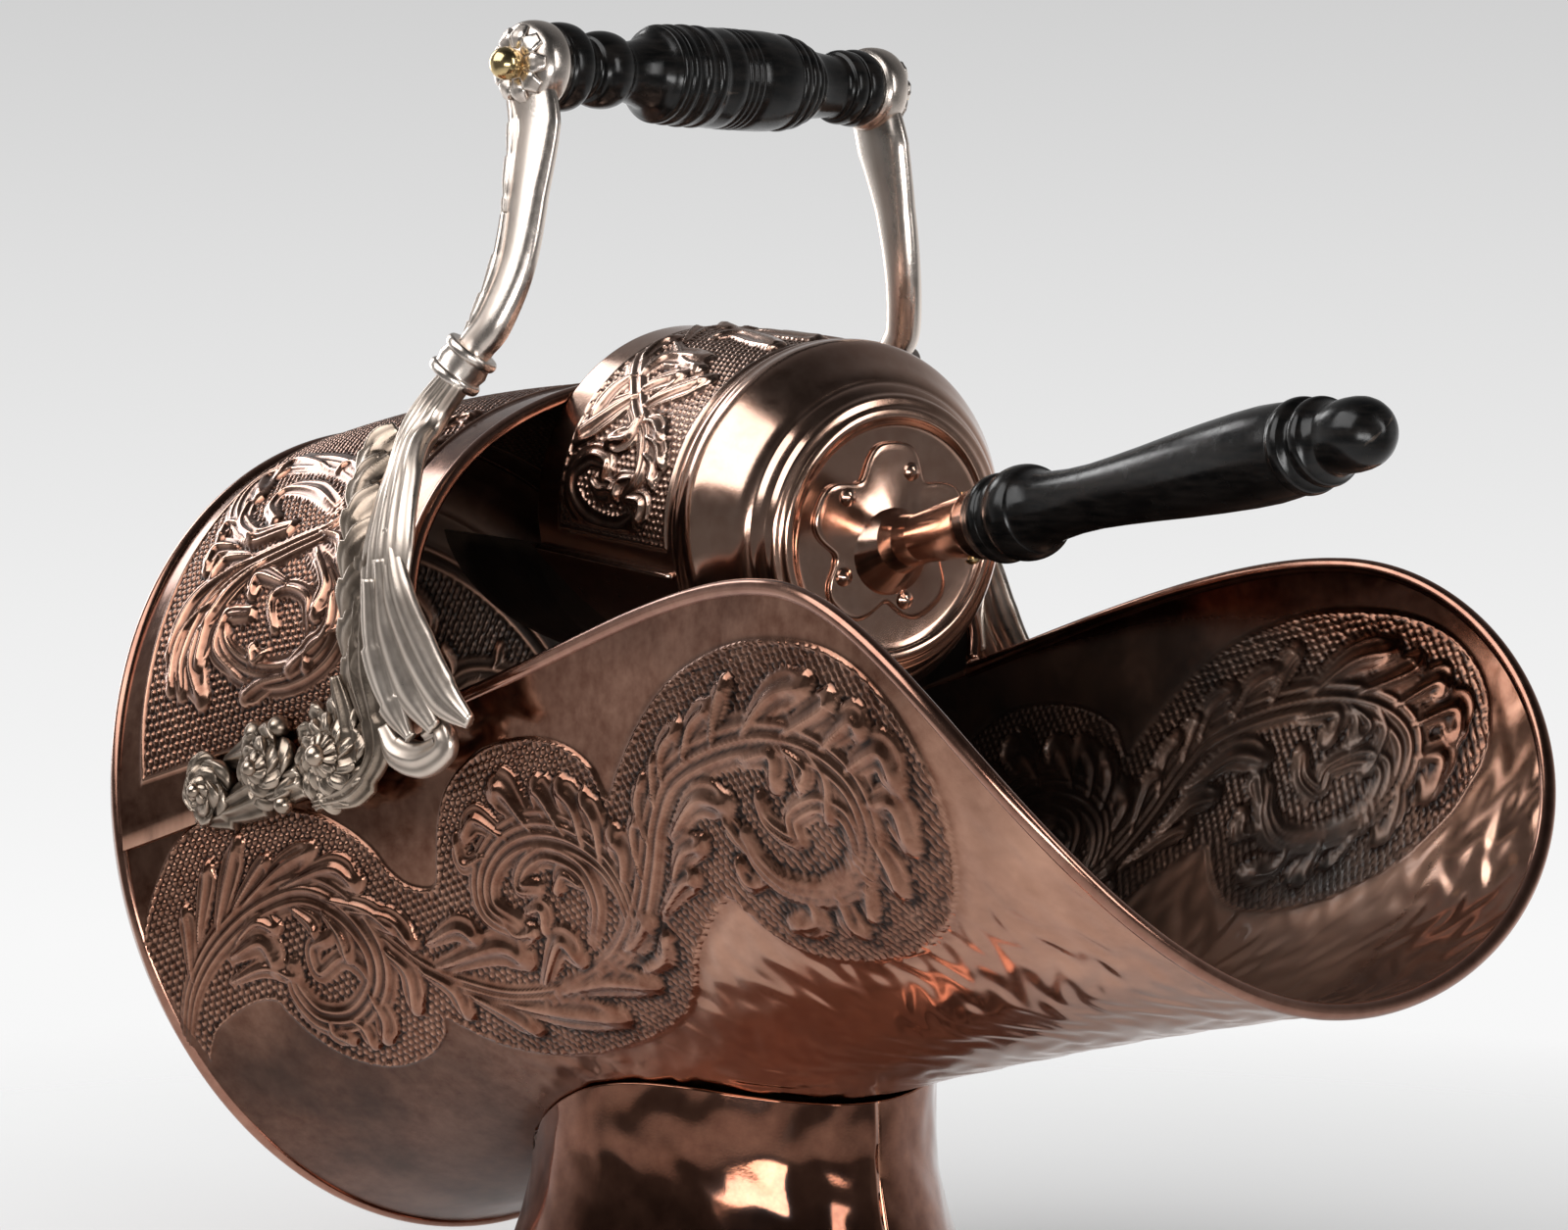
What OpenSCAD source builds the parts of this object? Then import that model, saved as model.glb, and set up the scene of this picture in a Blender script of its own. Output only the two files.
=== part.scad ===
// Copper helmet coal scuttle on a spun foot, with a fixed brass bail and its hooded hand shovel.
// X points forward to the pouring lip, Y to the scuttle's left and Z up.
// The origin is on the floor at the centre of the foot.

/* [Back] */
// Half the width of the round back
back_half_width = 160; // [150:1:170]
// Half the height of the round back, measured along its lean
back_half_height = 167; // [158:1:176]
// Lean of the back from upright, top rearward
back_lean = 12.6; // [8:0.2:16]
// Height of the back's centre above the floor
back_centre_height = 200; // [192:1:212]
// Distance of the back's centre behind the foot's axis
back_setback = 182; // [172:1:195]
// Depth of the dished back plate
back_bulge = 40; // [30:1:48]
// Radius of the back plate's rounded shoulder
back_shoulder = 33; // [24:1:36]

/* [Trough] */
// Thickness of the copper sheet
sheet = 1.2; // [0.8:0.1:1.6]
// Half the width at the waist, beside the bail
waist_half_width = 139; // [133:1:145]
// Station of the waist
waist_x = 8; // [-10:1:25]
// How far the ears of the mouth stand out beyond the back's width, on each side
ear_swell = 3; // [0:0.5:6]
// Station where the ears reach their full width
ear_x = 280; // [255:1:300]
// Depth from the keel to the widest line at the lip
lip_depth = 158; // [148:1:168]
// Station of the pouring lip
lip_x = 314; // [300:1:325]
// Rise of the keel per unit length, at the back
keel_slope_back = 0.39; // [0.34:0.01:0.44]
// Rise of the keel per unit length, at the lip
keel_slope_lip = 0.19; // [0.14:0.01:0.24]
// Station of the corner where the mouth meets the hood
corner_x = -6; // [-16:1:8]
// Height of that corner
corner_z = 266; // [260:1:272]
// Station of the highest point of the ears
crest_x = 176; // [160:1:190]
// Height of the ears
crest_z = 314.5; // [305:0.5:322]
// Height of the side seam where it meets the back
seam_back_z = 206; // [200:1:212]
// Radius of the wired roll round the mouth
rim_r = 3; // [2.2:0.1:3.6]

/* [Hood] */
// Lean of the hood's front arch from upright, top rearward
arch_lean = 24; // [20:0.5:28]
// Half the width of the arch
arch_half_width = 148; // [144:1:154]
// Height of the arch's widest line
arch_spring_z = 290; // [284:1:298]
// Height of the arch's top
arch_top_z = 384; // [376:1:392]
// Outward bow of the hood along its length
hood_bow = 5; // [2:0.5:8]
// Overlap of the hood on the trough at the side seam
seam_lap = 6; // [4:0.5:9]

/* [Ornament] */
// How far the raised scrolls stand out of the sheet
scroll_rise = 2; // [1.2:0.1:3]
// Half the width of a scroll at its widest
scroll_half_width = 5; // [3.5:0.25:6]

/* [Foot] */
// Radius of the foot where it stands
foot_base_r = 113; // [104:1:122]
// Radius of the foot's neck
foot_neck_r = 79.5; // [74:0.5:86]
// Height at which the flare runs out into the neck
foot_flare_top = 94; // [84:1:100]
// Thickness of the spun foot
foot_wall = 1.4; // [1:0.1:2]
// Half the height of the rolled edge it stands on
foot_bead_r = 3.5; // [2.5:0.1:4.5]

/* [Bail] */
// Height of the grip's axis above the floor
grip_z = 504; // [490:1:515]
// Station of the grip's axis
grip_x = -16; // [-24:1:-8]
// Half the length of the turned grip
grip_half = 84; // [80:1:88]
// Radius of the cast boss at each end of the grip
boss_r = 17; // [15:0.5:19]
// Thickness of the boss, out to the seat of the ball nut
boss_depth = 16; // [13:0.5:19]
// Radius of the iron rod through the grip
rod_r = 3.5; // [2.5:0.1:4.5]
// Radius of the ball nuts
ball_r = 6.3; // [5.5:0.1:7.2]
// Greatest radius of the turned grip
grip_r = 20; // [18:0.5:22]
// Running clearance of the grip on its rod, and of pins in their holes
running = 0.06; // [0.03:0.01:0.09]
// Gap at the grip's ends and between soldered pieces
gap = 0.3; // [0.2:0.05:0.4]
// Length of the collar that joins arm and bracket
collar_length = 15; // [12:0.5:18]
// Radius of the collar
collar_r = 11; // [10:0.5:12.5]
// Radius of the tenons inside the collar
tenon_r = 6; // [5:0.25:6.5]

/* [Bracket] */
// Station of the cast flower
flower_x = -60; // [-66:1:-54]
// Height of the cast flower
flower_z = 244; // [240:1:248]
// Radius of the flower
flower_r = 21; // [18:0.5:23]
// Petals round the flower
petals = 11; // [9:1:13]
// Radius of the middle bud
middle_bud_r = 16; // [14:0.5:18]
// Radius of the tail bud
tail_bud_r = 14.5; // [12:0.5:16]
// Radius of the curled volute under the leaf
volute_r = 8; // [6:0.5:9]

/* [Shovel] */
// Outer radius of the shovel's barrel
barrel_r = 68.6; // [66:0.2:70]
// Thickness of the shovel's sheet
shovel_sheet = 1; // [0.8:0.1:1.4]
// Length of the hood over the shovel
shovel_hood_length = 96; // [90:1:100]
// Length of the copper barrel under the hood
barrel_length = 104; // [98:1:108]
// Reach of the scoop's tip behind the end plate
scoop_reach = 171; // [164:1:176]
// Outward flare of the scoop at its tip
scoop_flare = 6; // [3:0.5:9]
// Angle below level at which hood and barrel part
part_angle = 16; // [12:1:20]
// Largest radius of the spun end
end_r = 71.9; // [70.5:0.2:73]
// Depth of the spun end to its flat
end_depth = 38.6; // [36:0.2:41]
// Inner radius of the ring round the end's flat
end_flat_r = 43; // [41:0.5:45]
// Mean radius of the lobed socket plate
plate_r = 30.5; // [29:0.5:32]
// How far the lobes stand out and the notches stand in
plate_lobe = 5; // [3:0.5:5.5]
// Upward angle of the handle from the shovel's axis
handle_angle = 14.5; // [10:0.5:18]
// Distance of the handle's axis below the middle of the end
handle_drop = 3.4; // [1:0.2:5]
// Length of the socket
socket_length = 63; // [56:1:70]
// Radius of the socket at the end plate
socket_root_r = 9.6; // [8.5:0.1:11]
// Radius of the socket at the handle
socket_mouth_r = 13.2; // [12:0.1:14]
// Length of the wooden handle outside the socket
handle_length = 214; // [200:1:225]
// Radius of the handle's swell
handle_r = 17; // [15:0.5:18.5]
// Radius of the pin through socket and handle
pin_r = 1.8; // [1.4:0.1:2.4]

/* [Hidden] */
$fn = 48;

copper = "#a5603f";
dark_copper = "#7a4632";
cast_brass = "#b59a6e";
bright_brass = "#c9a24b";
black_wood = "#1c1a19";
dark_iron = "#3a3735";

wire_sides = 8;
edge_clearance = rim_r + gap;

// ---- general geometry ----

function unit(v) = v / norm(v);
function mix(a, b, t) = a + (b - a) * t;
function flatten(rows) = [for (row = rows) each row];
function ease(t) = let (s = min(1, max(0, t))) s * s * (3 - 2 * s);
function bezier(p, t) =
    pow(1 - t, 3) * p[0] + 3 * t * pow(1 - t, 2) * p[1] + 3 * t * t * (1 - t) * p[2] + pow(t, 3) * p[3];

// Normals of a grid of points, on the side where its rows turn toward its columns
function grid_normal(g, i, j) =
    let (
        along = g[min(len(g) - 1, i + 1)][j] - g[max(0, i - 1)][j],
        across = g[i][min(len(g[i]) - 1, j + 1)] - g[i][max(0, j - 1)]
    )
    unit(cross(along, across));
function grid_normals(g) = [
    for (i = [0 : len(g) - 1]) [for (j = [0 : len(g[i]) - 1]) grid_normal(g, i, j)]
];
function offset_grid(g, normals, d, rows, columns) = [
    for (i = [rows[0] : rows[1]]) [for (j = [columns[0] : columns[1]]) g[i][j] + d * normals[i][j]]
];

// A bent sheet on part of a grid of points, lying from d_low to d_high along the normals
module bent_sheet(g, normals, d_low, d_high, rows, columns) {
    high = offset_grid(g, normals, d_high, rows, columns);
    low = offset_grid(g, normals, d_low, rows, columns);
    last_row = len(high) - 1;
    edge = len(high[0]) - 1;
    function top(i, j) = i * len(high[0]) + j;
    function under(i, j) = len(high) * len(high[0]) + top(i, j);
    cells = [for (i = [0 : last_row - 1], j = [0 : edge - 1]) [i, j]];
    faces = concat(
        [for (c = cells) [top(c.x, c.y), top(c.x, c.y + 1), top(c.x + 1, c.y + 1)]],
        [for (c = cells) [top(c.x, c.y), top(c.x + 1, c.y + 1), top(c.x + 1, c.y)]],
        [for (c = cells) [under(c.x, c.y), under(c.x + 1, c.y + 1), under(c.x, c.y + 1)]],
        [for (c = cells) [under(c.x, c.y), under(c.x + 1, c.y), under(c.x + 1, c.y + 1)]],
        [for (j = [0 : edge - 1]) [top(0, j), under(0, j), under(0, j + 1)]],
        [for (j = [0 : edge - 1]) [top(0, j), under(0, j + 1), top(0, j + 1)]],
        [for (j = [0 : edge - 1]) [top(last_row, j), under(last_row, j + 1), under(last_row, j)]],
        [for (j = [0 : edge - 1]) [top(last_row, j), top(last_row, j + 1), under(last_row, j + 1)]],
        [for (i = [0 : last_row - 1]) [top(i, 0), under(i + 1, 0), under(i, 0)]],
        [for (i = [0 : last_row - 1]) [top(i, 0), top(i + 1, 0), under(i + 1, 0)]],
        [for (i = [0 : last_row - 1]) [top(i, edge), under(i, edge), under(i + 1, edge)]],
        [for (i = [0 : last_row - 1]) [top(i, edge), under(i + 1, edge), top(i + 1, edge)]]
    );
    polyhedron(concat(flatten(high), flatten(low)), faces);
}

// A solid through a stack of closed rings of points, capped at both ends
module ring_stack(rings) {
    last = len(rings) - 1;
    sides = len(rings[0]);
    function at(i, k) = i * sides + k % sides;
    polyhedron(flatten(rings), concat(
        [for (k = [1 : sides - 2]) [at(0, 0), at(0, k), at(0, k + 1)]],
        [for (i = [0 : last - 1], k = [0 : sides - 1]) [at(i, k), at(i + 1, k), at(i + 1, k + 1)]],
        [for (i = [0 : last - 1], k = [0 : sides - 1]) [at(i, k), at(i + 1, k + 1), at(i, k + 1)]],
        [for (k = [1 : sides - 2]) [at(last, 0), at(last, k + 1), at(last, k)]]
    ));
}

// A bar swept through stations of [x, y, z, half width, half depth], its width square to the side axis
function place(s) = [s[0], s[1], s[2]];
function tangent(s, i) = unit(place(s[min(len(s) - 1, i + 1)]) - place(s[max(0, i - 1)]));
function bar_ring(s, i, side, sides) =
    let (
        t = tangent(s, i),
        wide = unit(cross(t, side)),
        deep = cross(t, wide)
    )
    [for (k = [0 : sides - 1]) let (a = 360 * k / sides)
        place(s[i]) + s[i][3] * cos(a) * wide + s[i][4] * sin(a) * deep];
module swept_bar(s, side, sides) {
    ring_stack([for (i = [0 : len(s) - 1]) bar_ring(s, i, side, sides)]);
}
module wire(path, r) {
    swept_bar([for (p = path) [p.x, p.y, p.z, r, r]], [0.31, 0.17, 0.93], wire_sides);
}

// A spun shell: a profile of [radius, height] points given a wall on its left side
function profile_offset(p, d) = [
    for (i = [0 : len(p) - 1])
        let (t = unit(p[min(len(p) - 1, i + 1)] - p[max(0, i - 1)]))
        [max(0, p[i].x - d * t.y), p[i].y + d * t.x]
];
module spun_shell(p, wall) {
    inner = profile_offset(p, wall);
    rotate_extrude()
        polygon(concat(p, [for (i = [len(p) - 1 : -1 : 0]) inner[i]]));
}
// A turned solid from a list of [height, radius] points
module turned(p) {
    rotate_extrude()
        polygon(concat([[0, p[0][0]]], [for (q = p) [q[1], q[0]]], [[0, p[len(p) - 1][0]]]));
}
// Points of a turned bead: its middle, its radius at the crest, half its width and its height
function bead(middle, crest, half, rise) = [
    for (a = [-90 : 45 : 90]) [middle + half * sin(a), crest - rise * (1 - cos(a))]
];
module on_right() {
    mirror([0, 1, 0])
        children();
}
// Turn the Z axis to a direction
module pointing(direction) {
    rotate([0, acos(direction.z / norm(direction)), atan2(direction.y, direction.x)])
        children();
}

// ---- the back: a leaning round, dished rearward ----

back_drop = [sin(back_lean), 0, -cos(back_lean)];
back_forward = [cos(back_lean), 0, sin(back_lean)];
back_centre = [-back_setback, 0, back_centre_height];
back_depth = back_half_height * cos(back_lean);
function back_point(a) =
    back_centre + back_half_height * cos(a) * back_drop + [0, back_half_width * sin(a), 0];
plate_edge_r = back_half_width - edge_clearance;
plate_flank = 2 * rim_r;
back_profile = concat(
    [[plate_edge_r, gap]],
    [for (a = [0 : 18 : 72]) [
        plate_edge_r - back_shoulder * (1 - cos(a)),
        plate_flank + (back_shoulder - plate_flank) * sin(a)
    ]],
    [for (share = [0.6, 0.3, 0])
        [plate_edge_r * share, back_bulge - (back_bulge - back_shoulder) * share * share]
    ]
);

// ---- the trough: every cross-section is the lower part of an ellipse that stands on the keel ----

ear_half_width = back_half_width + ear_swell;
keel_start = back_point(0);
keel_sag = (keel_slope_back - keel_slope_lip) / (2 * (lip_x - keel_start.x));
function keel(x) =
    let (s = x - keel_start.x)
    keel_start.z + keel_slope_back * s - keel_sag * s * s;
function depth(x) = mix(back_depth, lip_depth, (x + back_setback) / (lip_x + back_setback));
function half_width(x) =
    let (
        behind = (waist_x - x) / (waist_x + back_setback),
        ahead = (x - waist_x) / (ear_x - waist_x)
    )
    x < waist_x
        ? waist_half_width + (back_half_width - waist_half_width) * behind * behind
        : waist_half_width + (ear_half_width - waist_half_width) * ease(ahead);
function trough_point(x, a) = [x, half_width(x) * sin(a), keel(x) + depth(x) * (1 - cos(a))];
function angle_at(x, z) = acos(max(-1, min(1, 1 - (z - keel(x)) / depth(x))));

// The mouth in side view, from the lip up over the ear and down to the corner at the hood
mouth_fall = [
    [crest_x, crest_z],
    [mix(crest_x, lip_x, 0.572), crest_z * 1.006],
    [mix(crest_x, lip_x, 0.971), mix(keel(lip_x), crest_z, 0.314)],
    [lip_x, keel(lip_x)]
];
mouth_rise = [
    [corner_x, corner_z],
    [mix(corner_x, crest_x, 0.385), mix(corner_z, crest_z, 0.474)],
    [mix(corner_x, crest_x, 0.725), crest_z],
    [crest_x, crest_z]
];
fall_share = 0.6;
function mouth_side(m) = m < fall_share
    ? bezier(mouth_fall, 1 - pow(m / fall_share, 1.8))
    : bezier(mouth_rise, (1 - m) / (1 - fall_share));
function mouth_inset(m, d) =
    let (t = unit(mouth_side(min(1, m + 0.01)) - mouth_side(max(0, m - 0.01))))
    mouth_side(m) + d * [-t.y, t.x];
function mouth_point(m) =
    let (p = mouth_side(abs(m)))
    trough_point(p.x, sign(m) * angle_at(p.x, p.y));

seam_angle = acos((back_centre_height - seam_back_z) / back_depth);
seam_back_x = back_point(seam_angle).x;
function trough_skin(m, u) =
    let (
        from = back_point(abs(m) * seam_angle),
        to = mouth_inset(abs(m), edge_clearance + gap),
        x = mix(from.x, to.x, u),
        a = mix(angle_at(from.x, from.z), angle_at(to.x, to.y), u)
    )
    trough_point(x, sign(m) * a);
function trough_normal(p) =
    let (
        x = p.x,
        a = atan2(p.y / half_width(x), 1 - (p.z - keel(x)) / depth(x))
    )
    unit(cross(
        trough_point(x + 1, a) - trough_point(x - 1, a),
        trough_point(x, a + 1) - trough_point(x, a - 1)
    ));
trough_columns = 20;
trough_rows = 10;
trough_grid = [
    for (i = [0 : trough_rows])
        [for (j = [-trough_columns : trough_columns]) trough_skin(j / trough_columns, i / trough_rows)]
];
trough_normals = [for (row = trough_grid) [for (p = row) trough_normal(p)]];

// ---- the hood: lofted from the back to the leaning arch, and laid over the trough's upper edge ----

arch_drop = 60;
arch_fullness = 1.8;
arch_foot_angle = acos((arch_spring_z - corner_z) / arch_drop);
function arch_point(a) =
    let (
        power = a > 90 ? 2 / arch_fullness : 1,
        high = a > 90 ? arch_top_z - arch_spring_z : -arch_drop,
        z = arch_spring_z + high * pow(abs(cos(a)), power)
    )
    [corner_x - (z - corner_z) * tan(arch_lean), arch_half_width * pow(abs(sin(a)), power), z];
function hood_loft(m, u) =
    mix(back_point(mix(180, seam_angle, m)), arch_point(mix(180, arch_foot_angle, m)), u)
    + [0, 0, 4 * hood_bow * u * (1 - u) * cos(90 * m)];
// A line on the outside of the trough, a drop below the side seam
function seam_line(u, drop) =
    let (
        x = mix(seam_back_x + drop * tan(back_lean), corner_x, u),
        a = angle_at(x, mix(seam_back_z, corner_z, u)) - drop / waist_half_width * 180 / PI
    )
    trough_point(x, a) + [0, sheet + 1.6 * gap, 0];
function hood_half(m, u) = m > 1
    ? seam_line(u, seam_lap)
    : hood_loft(m, u) + (seam_line(u, -1) - hood_loft(1, u)) * pow(m, 6);
function hood_skin(m, u) = let (p = hood_half(abs(m), u)) [p.x, p.y * (m < 0 ? -1 : 1), p.z];
hood_columns = 13;
hood_rows = 8;
// Share of the hood's length at which its sheet stops short of the arch's wire
function hood_end(m) =
    1 - (edge_clearance + gap) / cos(arch_lean) / norm(hood_skin(m, 1) - hood_skin(m, 0));
hood_steps = [for (j = [hood_columns + 1 : -1 : -hood_columns - 1]) j / hood_columns];
hood_grid = [for (i = [0 : hood_rows]) [for (m = hood_steps) hood_skin(m, hood_end(m) * i / hood_rows)]];
hood_normals = grid_normals(hood_grid);

// ---- raised scrolls: each is a tapering bar along the sheet, let into its outer face ----

scroll_root = 0.85 * sheet;
scroll_depth = (scroll_rise + scroll_root) / 2;
scroll_middle = sheet / 2 + scroll_rise - scroll_depth;
scroll_sides = 6;
function curve(p, steps) = [for (k = [0 : steps - 1]) bezier(p, k / steps)];
// A curl that winds in from its rim to its eye, in the flat
function curl(centre, r, from, sweep, steps) = [
    for (k = [0 : steps])
        let (t = k / steps, reach = r * (1 - 0.7 * t * t), a = from + sweep * t)
            centre + reach * [cos(a), sin(a)]
];
// The trough's scrolls in side view, as [x, z]
trough_scrolls = [
    concat(
        curve([[-46, 172], [-20, 150], [45, 140], [82, 194]], 8),
        curve([[82, 194], [100, 222], [112, 262], [174, 264]], 6),
        curl([187, 236], 31, 115, -380, 15)
    ),
    concat(
        curve([[-156, 132], [-150, 164], [-122, 192], [-91, 190]], 6),
        curl([-86, 163], 27.5, 101, -340, 14)
    ),
    curl([38, 203], 30, -12, 330, 14)
];
// The hood's scrolls in the flat, as [distance from the back, distance down from the crest]
hood_run = 188;
hood_fall = 250;
hood_scrolls = [
    curve([[126, 100], [122, 140], [60, 135], [45, 180]], 9),
    curl([100, 180], 31, -60, 330, 14),
    curl([50, 106], 27, -5, -330, 13)
];
function hood_spot(p, side) = hood_skin(side * p.y / hood_fall, p.x / hood_run);
function hood_outward(p, side) =
    let (
        along = hood_spot(p + [1, 0], side) - hood_spot(p, side),
        down = hood_spot(p + [0, 1], side) - hood_spot(p, side),
        n = unit(cross(along, down))
    )
    n.y * side < 0 ? -n : n;
module raised_scroll(spots, outward) {
    last = len(spots) - 1;
    stations = [for (i = [0 : last])
        let (p = spots[i] + scroll_middle * outward[i])
            [p.x, p.y, p.z, scroll_half_width * mix(0.45, 1, sin(180 * i / last)), scroll_depth]
    ];
    ring_stack([for (i = [0 : last]) bar_ring(stations, i, outward[i], scroll_sides)]);
}

// ---- the foot ----

foot_bead_middle = foot_bead_r * 0.8;
foot_top = keel(foot_neck_r) + depth(foot_neck_r) / 10;
foot_line = [
    [foot_neck_r, foot_flare_top],
    [foot_neck_r, foot_flare_top * 0.66],
    [mix(foot_neck_r, foot_base_r, 0.4), foot_flare_top * 0.38],
    [foot_base_r - foot_bead_r, foot_bead_middle + foot_bead_r + 3 * gap]
];
foot_profile = concat([for (t = [0 : 0.1 : 1]) bezier(foot_line, 1 - t)], [[foot_neck_r, foot_top]]);

// ---- the bail ----

grip_centre = [grip_x, 0, grip_z];
boss_inner = grip_half + gap;
boss_outer = boss_inner + boss_depth;
boss_middle = boss_inner + boss_depth / 2;
boss_bore = rod_r + running;
// Middle of the collar and the line of the bail through it
collar_at = [grip_x - 12, boss_middle + 23, grip_z - 113];
collar_axis = unit([11, -7, 17]);
function beside_collar(d) = collar_at + d * collar_axis;
collar_face = collar_length / 2 + gap;
arm_stations = [
    concat([grip_x, boss_middle, grip_z - boss_r / 2], [12.5, 6]),
    concat([grip_x + 4, boss_middle + 1, grip_z - 24], [14, 6]),
    concat([grip_x + 6, boss_middle + 6, grip_z - 49], [10, 6]),
    concat([grip_x + 5.5, boss_middle + 11, grip_z - 75], [8.5, 6.2]),
    concat([grip_x, boss_middle + 17, grip_z - 96], [7.6, 6.6]),
    concat(beside_collar(collar_face + 3), [7.6, 6.6]),
    concat(beside_collar(collar_face), [7.4, 6.6])
];

// ---- the bracket: stations of [x, y, z, half width, half depth] through each cast limb ----

side_y = half_width(flower_x) + 8;
flower_at = [flower_x, side_y, flower_z];
bracket_stem = [
    concat(beside_collar(-collar_face), [7.6, 6.6]),
    concat(beside_collar(-collar_face - 6), [10.5, 7]),
    concat(beside_collar(-collar_face - 16), [13, 7]),
    concat(collar_at + [-12, 13, -32], [14, 7]),
    concat(collar_at + [-13, 24, -44], [14, 7]),
    concat(collar_at + [-12, 33, -56], [14, 7]),
    [flower_x + 26, side_y + 4, flower_z + 72, 14, 7],
    [flower_x + 30, side_y + 3, flower_z + 52, 11, 7],
    [flower_x + 30, side_y + 1, flower_z + 32, 9, 7],
    [flower_x + 27, side_y, flower_z + 12, 7.5, 7],
    [flower_x + 20, side_y, flower_z - 6, 6.5, 6.5],
    [flower_x + 8, side_y, flower_z - 16, 6, 6],
    [flower_x - 6, side_y, flower_z - 19, 4.5, 5],
    [flower_x - 11, side_y, flower_z - 18, 1.5, 2]
];
bracket_leaf = [
    [flower_x + 24, side_y + 4, flower_z + 76, 4, 3],
    [flower_x + 31, side_y + 4, flower_z + 62, 13, 5.5],
    [flower_x + 46, side_y + 4.5, flower_z + 37, 16.5, 5.8],
    [flower_x + 66, side_y + 3, flower_z + 20, 11, 5],
    [flower_x + 84, side_y + 2, flower_z + 15, 5, 4],
    [flower_x + 90, side_y + 2, flower_z + 17, 1.5, 1.5]
];
bracket_tail = [
    [flower_x - 8, side_y, flower_z, 9, 7],
    [flower_x - 26, side_y + 1, flower_z - 4, 9, 8],
    [flower_x - 39, side_y + 2, flower_z - 6, middle_bud_r, 10],
    [flower_x - 58, side_y + 5, flower_z - 12, 10, 8],
    [flower_x - 74, side_y + 8, flower_z - 18, tail_bud_r, 10],
    [flower_x - 85, side_y + 9, flower_z - 21, 9, 7],
    [flower_x - 89, side_y + 9, flower_z - 22, 3, 3]
];
bracket_volute = [
    [flower_x + 36, side_y + 3, flower_z + 32, 4, 4],
    [flower_x + 41, side_y + 2, flower_z + 17, volute_r * 0.8, 6],
    [flower_x + 50, side_y, flower_z + 8, volute_r, 6.5],
    [flower_x + 60, side_y, flower_z + 11, volute_r * 0.8, 6],
    [flower_x + 63, side_y, flower_z + 18, 2.5, 3]
];

// ---- the shovel, in its own frame: X out to the handle, Z up, the origin in its hood's front edge ----

shovel_yaw = -9.6;
shovel_dip = 5;
shovel_out = [cos(shovel_dip) * cos(shovel_yaw), cos(shovel_dip) * sin(shovel_yaw), -sin(shovel_dip)];
shovel_up = [sin(shovel_dip) * cos(shovel_yaw), sin(shovel_dip) * sin(shovel_yaw), cos(shovel_dip)];
shovel_left = cross(shovel_up, shovel_out);
// Plain band behind the embossed part of the shovel's hood
hood_band = 5.6;
hood_back = shovel_hood_length + hood_band;
// The rear edge of the shovel's hood leans on the arch's wire at this angle from its top,
// at this distance to the right of the middle
touch_angle = -55.6;
touch_side = 41;
arch_touch_angle = 180 - asin(pow(touch_side / arch_half_width, arch_fullness / 2));
arch_touch = arch_point(arch_touch_angle);
touch_direction = unit([0.96, 0.14, -0.2]);
shovel_origin =
    [arch_touch.x, -arch_touch.y, arch_touch.z] + edge_clearance * touch_direction
    + hood_back * shovel_out
    - barrel_r * (cos(touch_angle) * shovel_up + sin(touch_angle) * shovel_left);
module on_shovel() {
    translate(shovel_origin)
        rotate([0, shovel_dip, shovel_yaw])
            children();
}
module along_shovel() {
    on_shovel()
        rotate([0, 90, 0])
            children();
}
scoop_lap = 6;
scoop_r = barrel_r - shovel_sheet - gap;
part_z = -barrel_r * sin(part_angle);
seam_lean = 36;
seam_start = hood_back + 8.4;
scoop_round = 51;
plate_thickness = 1.6;
plate_face = end_depth + gap + plate_thickness;
socket_start = [plate_face, 0, -handle_drop];
module along_handle() {
    on_shovel()
        translate(socket_start)
            rotate([0, 90 - handle_angle, 0])
                children();
}
plate_rivet_r = 2.2;
rivet_head_r = 3.6;
rivet_ring_r = plate_r - 5;

// ---- sheet-metal body ----

module trough() {
    all_columns = [0, 2 * trough_columns];
    color(copper)
        union() {
            bent_sheet(trough_grid, trough_normals, -sheet / 2, sheet / 2, [0, trough_rows], all_columns);
            for (side = [-1, 1], path = trough_scrolls) {
                spots = [for (p = path) trough_point(p.x, side * angle_at(p.x, p.y))];
                raised_scroll(spots, [for (p = spots) -trough_normal(p)]);
            }
        }
}
module hood() {
    all_columns = [0, 2 * hood_columns + 2];
    color(copper)
        union() {
            bent_sheet(hood_grid, hood_normals, -sheet / 2, sheet / 2, [0, hood_rows], all_columns);
            for (side = [-1, 1], path = hood_scrolls)
                raised_scroll(
                    [for (p = path) hood_spot(p, side)],
                    [for (p = path) hood_outward(p, side)]
                );
        }
}
module back_plate() {
    ring_steps = 48;
    function plate_ring(p) = [
        for (k = [0 : ring_steps - 1])
            let (a = 360 * k / ring_steps, out = max(p.x, gap))
            back_centre - p.y * back_forward
            + out * [0, sin(a), 0] + out * back_half_height / back_half_width * cos(a) * back_drop
    ];
    inner = profile_offset(back_profile, sheet);
    count = len(back_profile);
    color(dark_copper)
        ring_stack(concat(
            [for (i = [count - 1 : -1 : 0]) plate_ring(back_profile[i])],
            [for (p = inner) plate_ring(p)]
        ));
}
module back_rim() {
    step = 7.5;
    behind = edge_clearance * back_forward;
    color(copper)
        closed_wire([for (a = [0 : step : 360 - step]) back_point(a) - behind], rim_r);
}
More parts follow.
